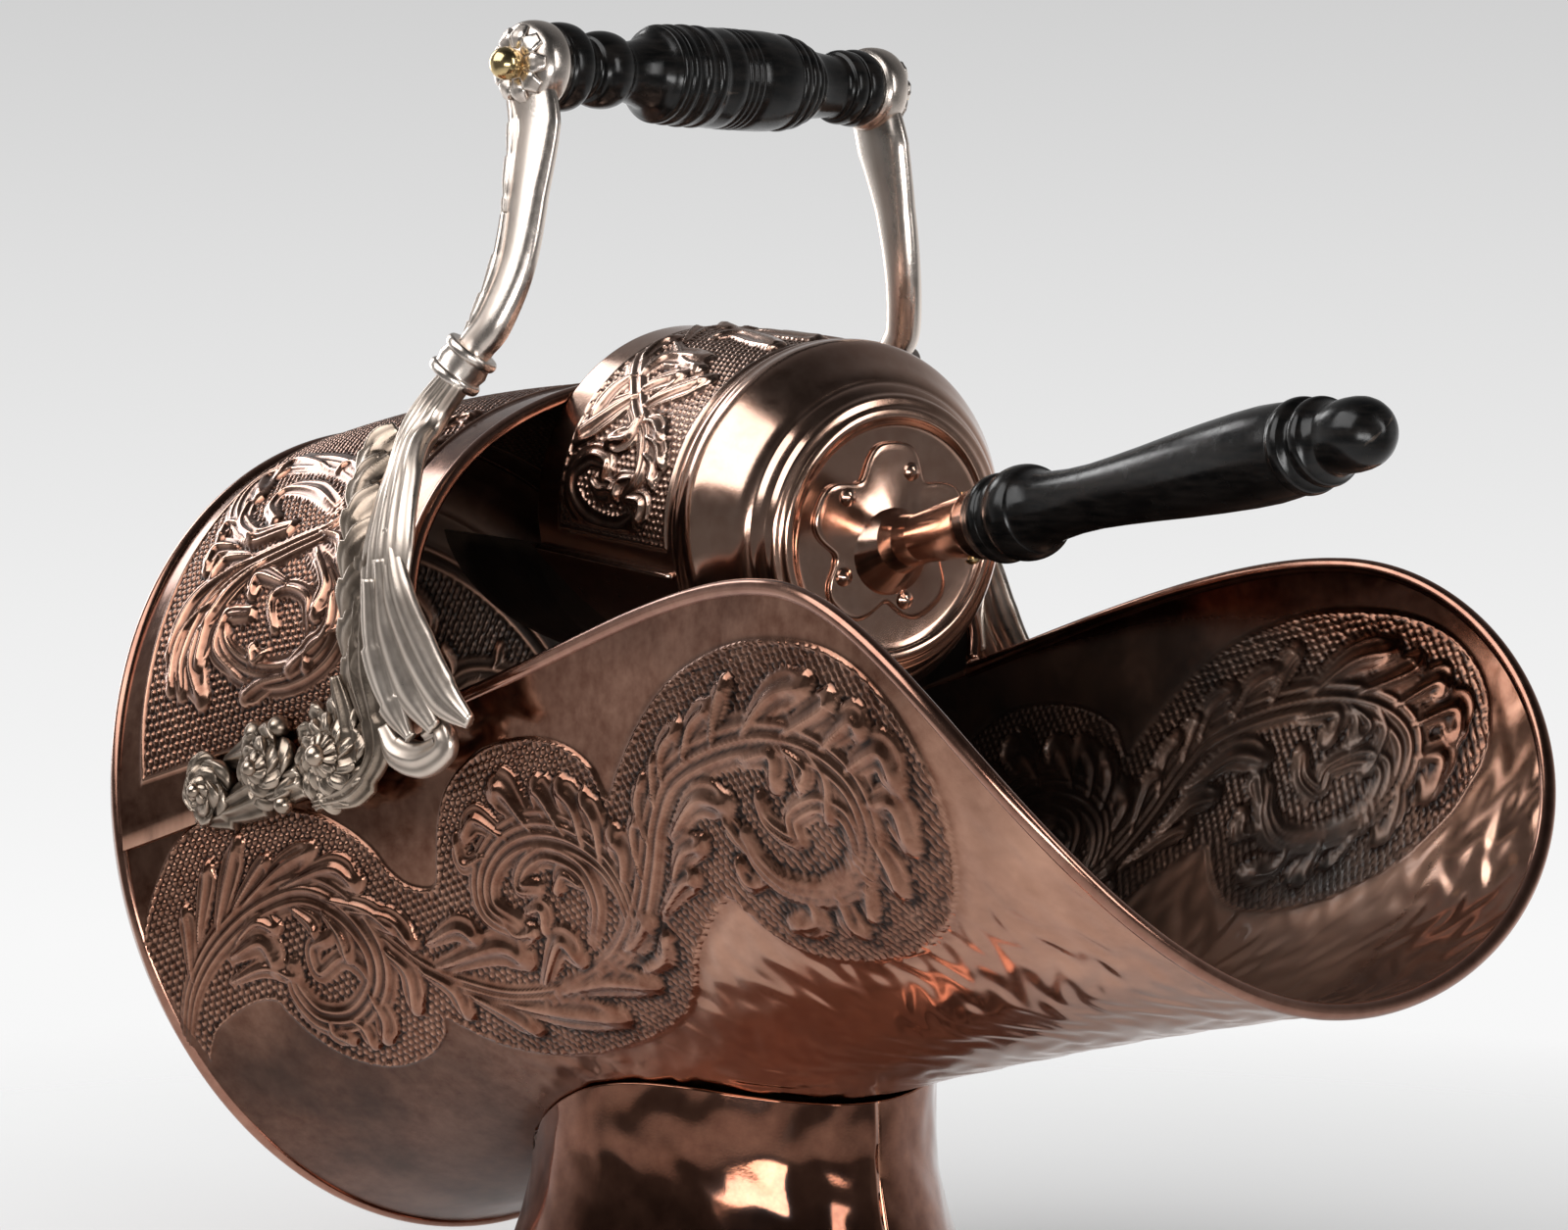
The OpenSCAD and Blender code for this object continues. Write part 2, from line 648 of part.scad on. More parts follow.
module closed_wire(path, r) {
    count = len(path);
    rings = [for (i = [0 : count - 1])
        let (
            t = unit(path[(i + 1) % count] - path[(i + count - 1) % count]),
            wide = unit(cross(t, back_forward))
        )
        each [for (k = [0 : wire_sides - 1]) let (a = 360 * k / wire_sides)
            path[i] + r * cos(a) * wide + r * sin(a) * back_forward]
    ];
    function at(i, k) = (i % count) * wire_sides + k % wire_sides;
    polyhedron(rings, concat(
        [for (i = [0 : count - 1], k = [0 : wire_sides - 1]) [at(i, k), at(i + 1, k + 1), at(i + 1, k)]],
        [for (i = [0 : count - 1], k = [0 : wire_sides - 1]) [at(i, k), at(i, k + 1), at(i + 1, k + 1)]]
    ));
}
module mouth_rim() {
    color(copper)
        wire([for (k = [-trough_columns : trough_columns]) mouth_point(k / trough_columns)], rim_r);
}
module hood_rim() {
    color(copper)
        wire([for (m = hood_steps) if (abs(m) < 0.97) hood_skin(m, 1)], rim_r);
}
module foot() {
    // The neck is cut off by a thick copy of the trough's underside
    inward = foot_neck_r;
    along = [1, trough_rows - 2];
    beneath = [trough_columns / 2, trough_columns * 3 / 2];
    color(copper)
        difference() {
            spun_shell(foot_profile, foot_wall);
            bent_sheet(trough_grid, trough_normals, -sheet / 2 - gap, inward, along, beneath);
        }
}
module foot_rim() {
    color(copper)
        rotate_extrude()
            intersection() {
                translate([foot_base_r - foot_bead_r, foot_bead_middle])
                    circle(foot_bead_r);
                square([2 * foot_base_r, 2 * foot_base_r]);
            }
}

// ---- bail and its cast brackets ----

module limb(stations) {
    swept_bar(stations, [0, 1, 0], 12);
}
module flower() {
    lobe = flower_r / 8;
    eye_r = flower_r * 0.32;
    translate(flower_at + [0, 6, 0])
        rotate([90, 0, 0])
            linear_extrude(13)
                polygon([for (k = [0 : 6 * petals - 1]) let (a = 60 * k / petals)
                    (flower_r - lobe + lobe * cos(a * petals)) * [cos(a), sin(a)]]);
    translate(flower_at + [0, 5.5, 0])
        sphere(eye_r);
}
// The space the sheets and wires need behind the bracket
module body_allowance() {
    past_corner = mouth_point(1) - [2, 0, 1];
    outside = -sheet / 2 - gap;
    inward = 20;
    cheek = [trough_columns + 13, 2 * trough_columns];
    flank = [0, 5];
    bent_sheet(trough_grid, trough_normals, outside, inward, [1, trough_rows], cheek);
    bent_sheet(hood_grid, hood_normals, outside, 0.8 * inward, [1, hood_rows], flank);
    wire(concat([for (m = [0.75 : 0.05 : 1]) mouth_point(m)], [past_corner]), rim_r + 1.5 * gap);
    wire([for (m = hood_steps) if (m > 0.6 && m <= 1) hood_skin(m, 1)], rim_r + 1.5 * gap);
}
module bracket() {
    color(cast_brass)
        difference() {
            union() {
                limb(bracket_stem);
                limb(bracket_leaf);
                limb(bracket_tail);
                flower();
                limb(bracket_volute);
                translate(beside_collar(-collar_face - 5))
                    pointing(collar_axis)
                        cylinder(h = collar_face + 5 - gap / 2, r = tenon_r, $fn = 32);
            }
            body_allowance();
        }
}
module bracket_left() {
    bracket();
}
module bracket_right() {
    on_right()
        bracket();
}
module collar() {
    half = collar_length / 2;
    bore = tenon_r + running;
    color(bright_brass)
        translate(collar_at)
            pointing(collar_axis)
                rotate_extrude()
                    polygon(concat(
                        [[bore, -half]],
                        [for (p = bead(-half + 2, collar_r, 2, 1)) [p[1], p[0]]],
                        [[collar_r - 1.6, -half + 4.6], [collar_r - 1.6, half - 4.6]],
                        [for (p = bead(half - 2, collar_r, 2, 1)) [p[1], p[0]]],
                        [[bore, half]]
                    ));
}
module collar_left() {
    collar();
}
module collar_right() {
    on_right()
        collar();
}
module boss_blank() {
    translate(grip_centre + [0, boss_inner, 0])
        rotate([-90, 0, 0])
            turned([
                [0, boss_r - 2],
                [2, boss_r],
                [boss_depth * 0.6, boss_r],
                [boss_depth * 0.8, boss_r * 0.84],
                [boss_depth * 0.95, boss_r * 0.55],
                [boss_depth, ball_r]
            ]);
}
module bail_arm() {
    color(cast_brass)
        difference() {
            union() {
                boss_blank();
                swept_bar(arm_stations, [0, 1, 0], 16);
                translate(beside_collar(gap / 2))
                    pointing(collar_axis)
                        cylinder(h = collar_length / 2 + 3, r = tenon_r);
            }
            translate(grip_centre)
                rotate([-90, 0, 0])
                    cylinder(h = 2 * boss_outer, r = boss_bore);
        }
}
module bail_arm_left() {
    bail_arm();
}
module bail_arm_right() {
    on_right()
        bail_arm();
}

// The turned grip, from the right end to the left as [station, radius]
function groove(h, r) = [[h, r - 0.1], [h + 1, r - 0.7], [h + 2, r - 0.1]];
module grip() {
    shoulder = grip_r * 0.95;
    color(black_wood)
        translate(grip_centre)
            rotate([-90, 0, 0])
                difference() {
                    turned(concat(
                        [[-grip_half, 15.6]],
                        bead(-grip_half + 6, 17, 5, 1.4),
                        [[-grip_half + 14, 11.4], [-grip_half + 18, 11]],
                        bead(-57, 15, 8, 3.4),
                        [[-46, 11.6], [-43, 11.8], [-34, 14], [-31, 17.6]],
                        bead(-28, shoulder + 0.2, 2, 0.8),
                        bead(-23, shoulder + 0.6, 2, 0.8),
                        bead(-16, grip_r, 2, 0.7),
                        bead(-9, grip_r, 2, 0.7),
                        [for (h = [3 : 3 : 12]) each groove(h, grip_r)],
                        [[30, grip_r - 0.2]],
                        bead(37, shoulder + 0.4, 2, 0.8),
                        bead(42, shoulder - 0.6, 2, 0.8),
                        bead(46.5, shoulder - 2.4, 1.8, 0.7),
                        [[51, 14.4], [53, 13.8], [68, 12]],
                        bead(grip_half - 12, 15, 3.5, 1.2),
                        bead(grip_half - 4.5, 15.6, 4, 1.2),
                        [[grip_half, 14.4]]
                    ));
                    cylinder(h = 3 * grip_half, r = rod_r + running, center = true);
                }
}
// Distance from the nut's centre to the flat it is turned down against
nut_seat = 3.6;
nut_centre = boss_outer + gap + nut_seat;
module grip_rod() {
    color(dark_iron)
        translate(grip_centre)
            rotate([90, 0, 0])
                cylinder(h = 2 * nut_centre, r = rod_r, center = true);
}
module ball_nut() {
    color(bright_brass)
        translate(grip_centre + [0, nut_centre, 0])
            rotate([-90, 0, 0])
                difference() {
                    intersection() {
                        sphere(ball_r);
                        translate([0, 0, ball_r - nut_seat])
                            cube(2 * ball_r, center = true);
                    }
                    translate([0, 0, -ball_r])
                        cylinder(h = ball_r + gap, r = rod_r + running);
                }
}
module ball_nut_left() {
    ball_nut();
}
module ball_nut_right() {
    on_right()
        ball_nut();
}

// ---- hand shovel ----

shovel_end_profile = [
    [barrel_r + gap + shovel_sheet, -3],
    [barrel_r + 2.6, 0],
    [barrel_r + 2.2, 4.5],
    [end_r, 9.5],
    [end_r - 1.4, 14],
    [end_r - 6.5, 17.5],
    [end_r - 8.5, 21],
    [end_r - 9, 26],
    [end_r - 13, 30.5],
    [end_r - 16.5, 33],
    [end_r - 17.5, 36],
    [end_r - 20, end_depth + 0.6],
    [end_flat_r + 6, end_depth + 0.8],
    [end_flat_r + 5, end_depth + 2.4],
    [end_flat_r + 1.5, end_depth + 2.6],
    [end_flat_r, end_depth],
    [0, end_depth]
];
module shovel_end() {
    color(copper)
        along_shovel()
            difference() {
                spun_shell(shovel_end_profile, shovel_sheet);
                plate_rivet_shanks(running);
            }
}
// The lower sector between the two edges where the shovel's hood and barrel part
module lower_sector(drop) {
    reach = 2 * barrel_r;
    low = -reach * tan(part_angle);
    past_tip = scoop_reach + 10;
    translate([-past_tip, 0, -drop])
        rotate([90, 0, 90])
            linear_extrude(past_tip)
                polygon([[0, 0], [reach, low], [reach, -2 * reach], [-reach, -2 * reach], [-reach, low]]);
}
module tube(r, back) {
    rotate([0, -90, 0])
        difference() {
            translate([0, 0, gap])
                cylinder(h = back - gap, r = r);
            cylinder(h = 3 * back, r = r - shovel_sheet, center = true);
        }
}
module folded_edge() {
    fold = [hood_back - 4 - gap, 4, 1.8];
    rotate([-part_angle, 0, 0])
        translate([-hood_back, barrel_r - 0.8 * shovel_sheet, 0.2])
            cube(fold);
}
module shovel_hood() {
    color(copper)
        on_shovel() {
            difference() {
                tube(barrel_r, hood_back);
                lower_sector(0);
            }
            folded_edge();
            on_right()
                folded_edge();
        }
}
// Everything in front of the oblique seam between barrel and scoop, moved back by a lap
module ahead_of_seam(lap) {
    reach = 3 * barrel_r;
    translate([-seam_start - lap, 0, part_z])
        rotate([0, seam_lean - 180, 0])
            translate([-reach, -reach, -2 * reach])
                cube([2 * reach, 2 * reach, 2 * reach]);
}
module shovel_barrel() {
    color(copper)
        on_shovel()
            intersection() {
                tube(barrel_r, scoop_reach);
                lower_sector(gap);
                ahead_of_seam(0);
            }
}
scoop_profile = [
    [scoop_r, -barrel_r / 2],
    [scoop_r, -barrel_length - 6],
    [scoop_r + scoop_flare * 0.4, -scoop_reach + 34],
    [scoop_r + scoop_flare, -scoop_reach - 2]
];
module scoop_outline() {
    rotate([90, 0, 0])
        linear_extrude(4 * barrel_r, center = true)
            union() {
                translate([scoop_round - scoop_reach, part_z])
                    circle(scoop_round);
                translate([-scoop_reach, part_z])
                    square([2 * scoop_round, barrel_r]);
                translate([scoop_round - scoop_reach, -2 * barrel_r])
                    square([scoop_reach, 3 * barrel_r]);
            }
}
module shovel_scoop() {
    color(dark_iron)
        on_shovel()
            intersection() {
                rotate([0, 90, 0])
                    spun_shell(scoop_profile, -shovel_sheet);
                lower_sector(gap);
                scoop_outline();
                difference() {
                    cube(6 * barrel_r, center = true);
                    ahead_of_seam(-scoop_lap);
                }
            }
}

module each_plate_rivet() {
    for (k = [0 : 4])
        rotate([0, 0, 72 * k + 18])
            translate([rivet_ring_r, 0, 0])
                children();
}
module plate_rivet_shanks(clearance) {
    reach = 4;
    each_plate_rivet()
        translate([0, 0, end_depth - reach])
            cylinder(h = 2 * reach, r = plate_rivet_r + clearance);
}
function plate_edge(a) = (plate_r + plate_lobe * cos(5 * (a - 18))) * [cos(a), sin(a)];
module shovel_socket_plate() {
    color(copper)
        along_shovel()
            difference() {
                translate([0, 0, end_depth + gap])
                    linear_extrude(plate_thickness)
                        polygon([for (a = [0 : 6 : 354]) plate_edge(a)]);
                plate_rivet_shanks(running);
            }
}
module shovel_plate_rivets() {
    head_rise = 2.2;
    color(copper)
        along_shovel()
            each_plate_rivet() {
                translate([0, 0, end_depth - 2.6])
                    cylinder(h = plate_face - end_depth + 2.8, r = plate_rivet_r);
                translate([0, 0, plate_face + gap / 2])
                    turned([[0, rivet_head_r], [0.9, 3.2], [1.7, 2], [head_rise, 0.8]]);
                translate([0, 0, end_depth - shovel_sheet - 3 - gap / 2])
                    cylinder(h = 1.6, r = 3.4);
            }
}
socket_bore_start = 14;
socket_bore_length = 80;
trumpet_r = rivet_ring_r - rivet_head_r - 3.4;
module shovel_socket() {
    behind = 120;
    color(cast_brass)
        difference() {
            along_handle()
                turned([
                    [-6, trumpet_r],
                    [-2, trumpet_r - 0.6],
                    [3, mix(socket_root_r, trumpet_r, 0.6)],
                    [8, mix(socket_root_r, trumpet_r, 0.25)],
                    [14, mix(socket_root_r, trumpet_r, 0.06)],
                    [22, socket_root_r],
                    [socket_length - 9, socket_mouth_r - 1.2],
                    [socket_length - 6, socket_mouth_r],
                    [socket_length, socket_mouth_r]
                ]);
            along_handle()
                translate([0, 0, socket_bore_start])
                    cylinder(h = socket_bore_length, r1 = socket_root_r - 2.6, r2 = socket_mouth_r + 0.6);
            on_shovel()
                translate([plate_face + gap - behind / 2, 0, 0])
                    cube(behind, center = true);
            pin_bore();
        }
}
pin_at = socket_length - 13;
module pin_bore() {
    along_handle()
        translate([0, 0, pin_at])
            rotate([0, 90, 0])
                cylinder(h = 4 * socket_mouth_r, r = pin_r + running, center = true);
}
module shovel_pin() {
    reach = socket_mouth_r - 1;
    color(bright_brass)
        along_handle()
            translate([0, 0, pin_at])
                rotate([0, 90, 0]) {
                    cylinder(h = 2 * reach + 1, r = pin_r, center = true);
                    translate([0, 0, reach + 0.2])
                        turned([[0, 2.8], [0.8, 2.5], [1.6, 1]]);
                }
}
module shovel_handle() {
    start = socket_length + gap;
    tenon_start = socket_bore_start + 3;
    bore_slope = (socket_mouth_r + 3.2 - socket_root_r) / socket_bore_length;
    function tenon_at(h) = socket_root_r - 2.6 + bore_slope * (h - socket_bore_start) - gap;
    color(black_wood)
        difference() {
            along_handle()
                turned(concat(
                    [[tenon_start, tenon_at(tenon_start)], [start, tenon_at(start)]],
                    [[start, socket_mouth_r + 1], [start + 6, socket_mouth_r + 2.4]],
                    bead(start + 22, handle_r + 0.6, 7, 2.6),
                    [
                        [start + 34, handle_r * 0.76],
                        [start + 56, handle_r * 0.67],
                        [start + 84, handle_r * 0.75],
                        [start + 120, handle_r * 0.91],
                        [start + 153, handle_r],
                        [start + 172, handle_r * 0.92],
                        [start + 177, handle_r * 0.84],
                        [start + 179, handle_r * 0.77],
                        [start + 181, handle_r * 0.84],
                        [start + 186, handle_r * 0.83],
                        [start + 192, handle_r * 0.7],
                        [start + 198, handle_r * 0.73],
                        [start + 206, handle_r * 0.72],
                        [start + handle_length - 3, handle_r * 0.55],
                        [start + handle_length, 2]
                    ]
                ));
            pin_bore();
        }
}

trough();
hood();
back_plate();
back_rim();
mouth_rim();
hood_rim();
foot();
foot_rim();
bracket_left();
bracket_right();
collar_left();
collar_right();
bail_arm_left();
bail_arm_right();
grip();
grip_rod();
ball_nut_left();
ball_nut_right();
shovel_end();
shovel_hood();
shovel_barrel();
shovel_scoop();
shovel_socket_plate();
shovel_plate_rivets();
shovel_socket();
shovel_pin();
shovel_handle();
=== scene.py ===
"""Looks of the copper helmet coal scuttle: embossed copper sheet, cast brass bail and turned black wood.

The row frame is the part's own: X points to the pouring lip, Y to the left and Z up.
Lengths are in millimetres until add_piece() writes a mesh in metres. The ornament's strokes are
drawn in the photograph's pixels, where they can be read off, and carried onto the sheet they decorate.
"""

import bpy
import numpy as np
from mathutils import Matrix


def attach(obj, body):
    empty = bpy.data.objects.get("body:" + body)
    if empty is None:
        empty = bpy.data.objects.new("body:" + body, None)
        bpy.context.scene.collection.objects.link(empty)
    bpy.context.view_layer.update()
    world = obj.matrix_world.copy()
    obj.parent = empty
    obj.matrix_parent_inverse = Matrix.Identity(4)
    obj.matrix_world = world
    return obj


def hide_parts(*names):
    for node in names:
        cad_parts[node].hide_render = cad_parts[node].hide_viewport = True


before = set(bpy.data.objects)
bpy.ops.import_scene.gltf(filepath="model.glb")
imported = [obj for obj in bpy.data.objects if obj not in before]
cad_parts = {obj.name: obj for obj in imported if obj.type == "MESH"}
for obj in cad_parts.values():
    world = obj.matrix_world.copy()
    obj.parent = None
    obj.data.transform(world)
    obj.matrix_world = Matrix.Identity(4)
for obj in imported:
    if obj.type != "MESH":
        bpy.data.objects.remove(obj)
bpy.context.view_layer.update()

MM = 0.001
# Spacing of the points of an embossed sheet
grain = 0.7

# ---- sizes, as in the part ----

back_half_width = 160
back_half_height = 167
back_lean = np.radians(12.6)
back_bulge = 40
back_shoulder = 33
sheet = 1.2
waist_half_width = 139
waist_x = 8
ear_half_width = 163
ear_x = 280
lip_depth = 158
lip_x = 314
keel_slope_back = 0.39
keel_slope_lip = 0.19
corner_x = -6
corner_z = 266
crest_x = 176
crest_z = 314.5
seam_back_z = 206
rim_r = 3
gap = 0.3
edge_clearance = rim_r + gap
arch_lean = np.radians(24)
arch_half_width = 148
arch_spring_z = 290
arch_top_z = 384
arch_drop = 60
arch_fullness = 1.8
hood_bow = 5
seam_lap = 6
foot_base_r = 113
foot_neck_r = 79.5
foot_flare_top = 94
foot_wall = 1.4
foot_bead_r = 3.5
grip_centre = np.array([-16.0, 0, 504])
grip_half = 84
boss_r = 17
boss_depth = 16
ball_r = 6.3
grip_r = 20
collar_length = 15
collar_r = 11
flower_at = np.array([-60.0, -149.7, 244])
flower_r = 21
petals = 11
barrel_r = 68.6
shovel_sheet = 1
shovel_hood_length = 96
part_angle = np.radians(16)
end_r = 71.9
end_depth = 38.6
end_flat_r = 43
plate_r = 30.5
plate_lobe = 5
handle_angle = np.radians(14.5)
handle_drop = 3.4
socket_length = 63
socket_mouth_r = 13.2
handle_length = 214
handle_r = 17

# ---- the photograph's camera ----

photo_width, photo_height = 1600, 1255
camera_azimuth = np.radians(46)
camera_elevation = np.radians(2.76)
camera_roll = np.radians(0.12)
camera_distance = 1700
camera_target = np.array([27.06, 0, 294.87])
focal_pixels = 4480.6
sensor_width = 36


def camera_axes():
    """The camera's directions in the row frame: to the right, up, and back towards the camera."""
    back = np.array([
        np.sin(camera_azimuth) * np.cos(camera_elevation),
        -np.cos(camera_azimuth) * np.cos(camera_elevation),
        np.sin(camera_elevation),
    ])
    level = np.array([np.cos(camera_azimuth), np.sin(camera_azimuth), 0])
    rise = np.cross(back, level)
    right = np.cos(camera_roll) * level + np.sin(camera_roll) * rise
    up = -np.sin(camera_roll) * level + np.cos(camera_roll) * rise
    return right, up, back


camera_right, camera_up, camera_back = camera_axes()
camera_at = camera_target + camera_distance * camera_back


def to_photo(points):
    """Pixels of the photograph at which points are seen."""
    offset = points - camera_at
    depth = -offset @ camera_back
    return np.stack([
        photo_width / 2 + focal_pixels * (offset @ camera_right) / depth,
        photo_height / 2 - focal_pixels * (offset @ camera_up) / depth,
    ], -1)


def from_photo(pixels, y_of_z):
    """Points seen at these pixels that lie on the upright face y = y_of_z(z)."""
    pixels = np.array(pixels, float)
    ray = (
        (pixels[:, :1] - photo_width / 2) / focal_pixels * camera_right
        - (pixels[:, 1:] - photo_height / 2) / focal_pixels * camera_up
        - camera_back
    )
    y = np.full(len(pixels), y_of_z(camera_target[2]))
    for _ in range(8):
        points = camera_at + ray * ((y - camera_at[1]) / ray[:, 1])[:, None]
        y = y_of_z(points[:, 2])
    return points


# ---- general geometry ----

leftward = np.array([0, 1, 0])
upward = np.array([0, 0, 1])
mirror = np.array([1, -1, 1])


def unit(v):
    return v / np.maximum(np.linalg.norm(v, axis=-1, keepdims=True), 1e-9)


def mix(a, b, t):
    return a + (b - a) * t


def ease(t):
    t = np.clip(t, 0, 1)
    return t * t * (3 - 2 * t)


def bezier(p, t):
    p = np.array(p, float)
    t = np.asarray(t, float)[..., None]
    return (1 - t) ** 3 * p[0] + 3 * t * (1 - t) ** 2 * p[1] + 3 * t * t * (1 - t) * p[2] + t ** 3 * p[3]


def smooth_path(points, count):
    """A smooth curve through the points, as that many points."""
    p = np.array(points, float)
    p = np.vstack([2 * p[0] - p[1], p, 2 * p[-1] - p[-2]])
    t = np.linspace(0, len(p) - 3, count)
    i = np.minimum(t.astype(int), len(p) - 4)
    f = (t - i)[:, None]
    a, b, c, d = p[i], p[i + 1], p[i + 2], p[i + 3]
    slope = (c - a) * f
    bend = (2 * a - 5 * b + 4 * c - d) * f ** 2
    twist = (3 * b - a - 3 * c + d) * f ** 3
    return 0.5 * (2 * b + slope + bend + twist)


def arc_length(path):
    return np.concatenate([[0], np.cumsum(np.linalg.norm(np.diff(path, axis=0), axis=1))])


def spread(values, t):
    """Values that stand evenly along a length, read off at shares of it."""
    return np.interp(t, np.linspace(0, 1, len(values)), values)


def full_turn(count):
    """That many angles evenly round a circle."""
    return np.linspace(0, 2 * np.pi, count, endpoint=False)


def turn(v, angle):
    c, s = np.cos(angle), np.sin(angle)
    return np.array([c * v[0] - s * v[1], s * v[0] + c * v[1]])


class Shape:
    """Grids of points gathered into one mesh.

    Each point has a hollow, from 1 in a crevice to -1 on a rubbed crest, which on the trough's plain
    underside also carries a painted dark reflection and a painted reflection of the floor, and an inner, 1 on
    a sheet's inside.
    """

    def __init__(self):
        self.points, self.hollows, self.inners, self.quads, self.tris = [], [], [], [], []
        self.count = 0

    def add_points(self, points, hollow, inner=0.0):
        start = self.count
        self.points.append(points.reshape(-1, 3))
        self.hollows.append(np.broadcast_to(hollow, points.shape[:-1]).reshape(-1))
        self.inners.append(np.broadcast_to(inner, points.shape[:-1]).reshape(-1))
        self.count += points.size // 3
        return start

    def grid(self, points, hollow=0.0, closed=False, flip=False, inner=0.0):
        """A surface over a grid of points, its columns joined round if closed. Returns their numbers."""
        rows, columns = points.shape[:2]
        index = self.add_points(points, hollow, inner) + np.arange(rows * columns).reshape(rows, columns)
        ring = np.concatenate([index, index[:, :1]], 1) if closed else index
        quads = np.stack([ring[:-1, :-1], ring[1:, :-1], ring[1:, 1:], ring[:-1, 1:]], -1).reshape(-1, 4)
        self.quads.append(quads[:, ::-1] if flip else quads)
        return index

    def strip(self, a, b, flip=False):
        """Quads between two rows of numbered points."""
        quads = np.stack([a[:-1], b[:-1], b[1:], a[1:]], -1)
        self.quads.append(quads[:, ::-1] if flip else quads)

    def cap(self, ring, points, flip=False):
        """A fan over a closed row of numbered points."""
        middle = self.add_points(points.mean(0, keepdims=True), 0.0)
        tris = np.stack([np.full(len(ring), middle), ring, np.roll(ring, -1)], -1)
        self.tris.append(tris[:, ::-1] if flip else tris)

    def mirrored(self):
        """The same shape on the other side of the middle plane."""
        other = Shape()
        other.points = [p * mirror for p in self.points]
        other.hollows = list(self.hollows)
        other.inners = list(self.inners)
        other.quads = [q[:, ::-1] for q in self.quads]
        other.tris = [t[:, ::-1] for t in self.tris]
        other.count = self.count
        return other


crease_angle = np.radians(38)


def put_in_scene(name, data):
    made = bpy.data.objects.new(name, data)
    bpy.context.scene.collection.objects.link(made)
    return made


def add_piece(name, shape, material, body, nodes, crease=False):
    """Makes the mesh, and says what it rides on, what it stands for and which finish it takes."""
    points = np.concatenate(shape.points)
    quads = np.concatenate(shape.quads)
    tris = np.concatenate(shape.tris) if shape.tris else np.zeros((0, 3), int)
    corners = np.concatenate([quads.ravel(), tris.ravel()]).astype(np.int32)
    sizes = np.concatenate([np.full(len(quads), 4), np.full(len(tris), 3)])
    starts = np.concatenate([[0], np.cumsum(sizes)[:-1]]).astype(np.int32)
    mesh = bpy.data.meshes.new(name)
    mesh.vertices.add(len(points))
    mesh.vertices.foreach_set("co", (points * MM).astype(np.float32).ravel())
    mesh.loops.add(len(corners))
    mesh.loops.foreach_set("vertex_index", corners)
    mesh.polygons.add(len(sizes))
    mesh.polygons.foreach_set("loop_start", starts)
    mesh.polygons.foreach_set("use_smooth", np.ones(len(sizes), bool))
    mesh.update(calc_edges=True)
    for label, values in ("hollow", shape.hollows), ("inner", shape.inners):
        attribute = mesh.attributes.new(label, "FLOAT", "POINT")
        attribute.data.foreach_set("value", np.concatenate(values).astype(np.float32))
    if crease:
        mesh.set_sharp_from_angle(angle=crease_angle)
    mesh.materials.append(material)
    piece = put_in_scene(name, mesh)
    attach(piece, body)
    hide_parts(*nodes)


def add_pair(node, suffix, shape, material, crease=False):
    """The near side's piece of the scuttle and its mirror image, which stand for the nodes of both sides."""
    for side, half in ("right", shape), ("left", shape.mirrored()):
        add_piece(f"{node}_{side}_{suffix}", half, material, "scuttle", [f"{node}_{side}"], crease)


def grid_normals(points):
    """Unit normals of a grid, on the side where its rows turn toward its columns."""
    return unit(np.cross(np.gradient(points, axis=0), np.gradient(points, axis=1)))


def normals_away_from(inside, points):
    """Unit normals of a grid, all on the side away from the points inside it."""
    normals = grid_normals(points)
    return normals * np.sign(np.sum(normals * unit(points - inside), -1, keepdims=True))


def both_halves(points, outward, rise, hollow):
    """The grids of the near half, joined to their mirror images at the middle plane."""
    return [
        np.concatenate([grid[:, ::-1], (grid * flip)[:, 1:]], 1)
        for grid, flip in ((points, mirror), (outward, mirror), (rise, 1), (hollow, 1))
    ]


def sheet_shape(skin, outward, rise, hollow, thickness=sheet, inner=1.0):
    """A sheet of even thickness on a grid of points, raised by its embossing."""
    shape = Shape()
    outer = skin + outward * (thickness / 2 + rise)[..., None]
    inside = skin + outward * (rise - thickness / 2)[..., None]
    facing = np.sum(grid_normals(skin) * outward) > 0
    top = shape.grid(outer, hollow, flip=not facing)
    under = shape.grid(inside, hollow, flip=facing, inner=inner)
    shape.strip(top[0], under[0], flip=facing)
    shape.strip(top[-1], under[-1], flip=not facing)
    shape.strip(top[:, 0], under[:, 0], flip=not facing)
    shape.strip(top[:, -1], under[:, -1], flip=facing)
    return shape


def tube(shape, path, radius, closed, sides=20):
    """A round bar along a path."""
    if closed:
        ends = np.vstack([path[-1:], path, path[:1]])
        tangent = unit(ends[2:] - ends[:-2])
    else:
        tangent = unit(np.gradient(path, axis=0))
    # a direction that no wire runs along
    reference = np.array([0.31, 0.17, 0.93])
    wide = unit(np.cross(tangent, reference))
    deep = np.cross(tangent, wide)
    a = full_turn(sides)
    ring = wide[:, None] * np.cos(a)[None, :, None] + deep[:, None] * np.sin(a)[None, :, None]
    points = path[:, None] + ring * radius
    if closed:
        points = np.concatenate([points, points[:1]])
    index = shape.grid(points, closed=True, flip=True)
    if not closed:
        shape.cap(index[0], points[0], flip=True)
        shape.cap(index[-1], points[-1])


def turned(shape, profile, origin, axis, sides=96):
    """A turned solid from points of [height along the axis, radius]."""
    profile = np.array(profile, float)
    axis = unit(np.array(axis, float))
    side = unit(np.cross(axis, [0.3, 0.1, 0.9] if abs(axis[2]) < 0.9 else [1, 0, 0]))
    other = np.cross(axis, side)
    a = full_turn(sides)
    ring = np.cos(a)[:, None] * side + np.sin(a)[:, None] * other
    height = profile[:, 0, None, None]
    radius = np.maximum(profile[:, 1], 0.01)[:, None, None]
    points = origin + height * axis + radius * ring
    index = shape.grid(points, closed=True, flip=True)
    shape.cap(index[0], points[0], flip=True)
    shape.cap(index[-1], points[-1])


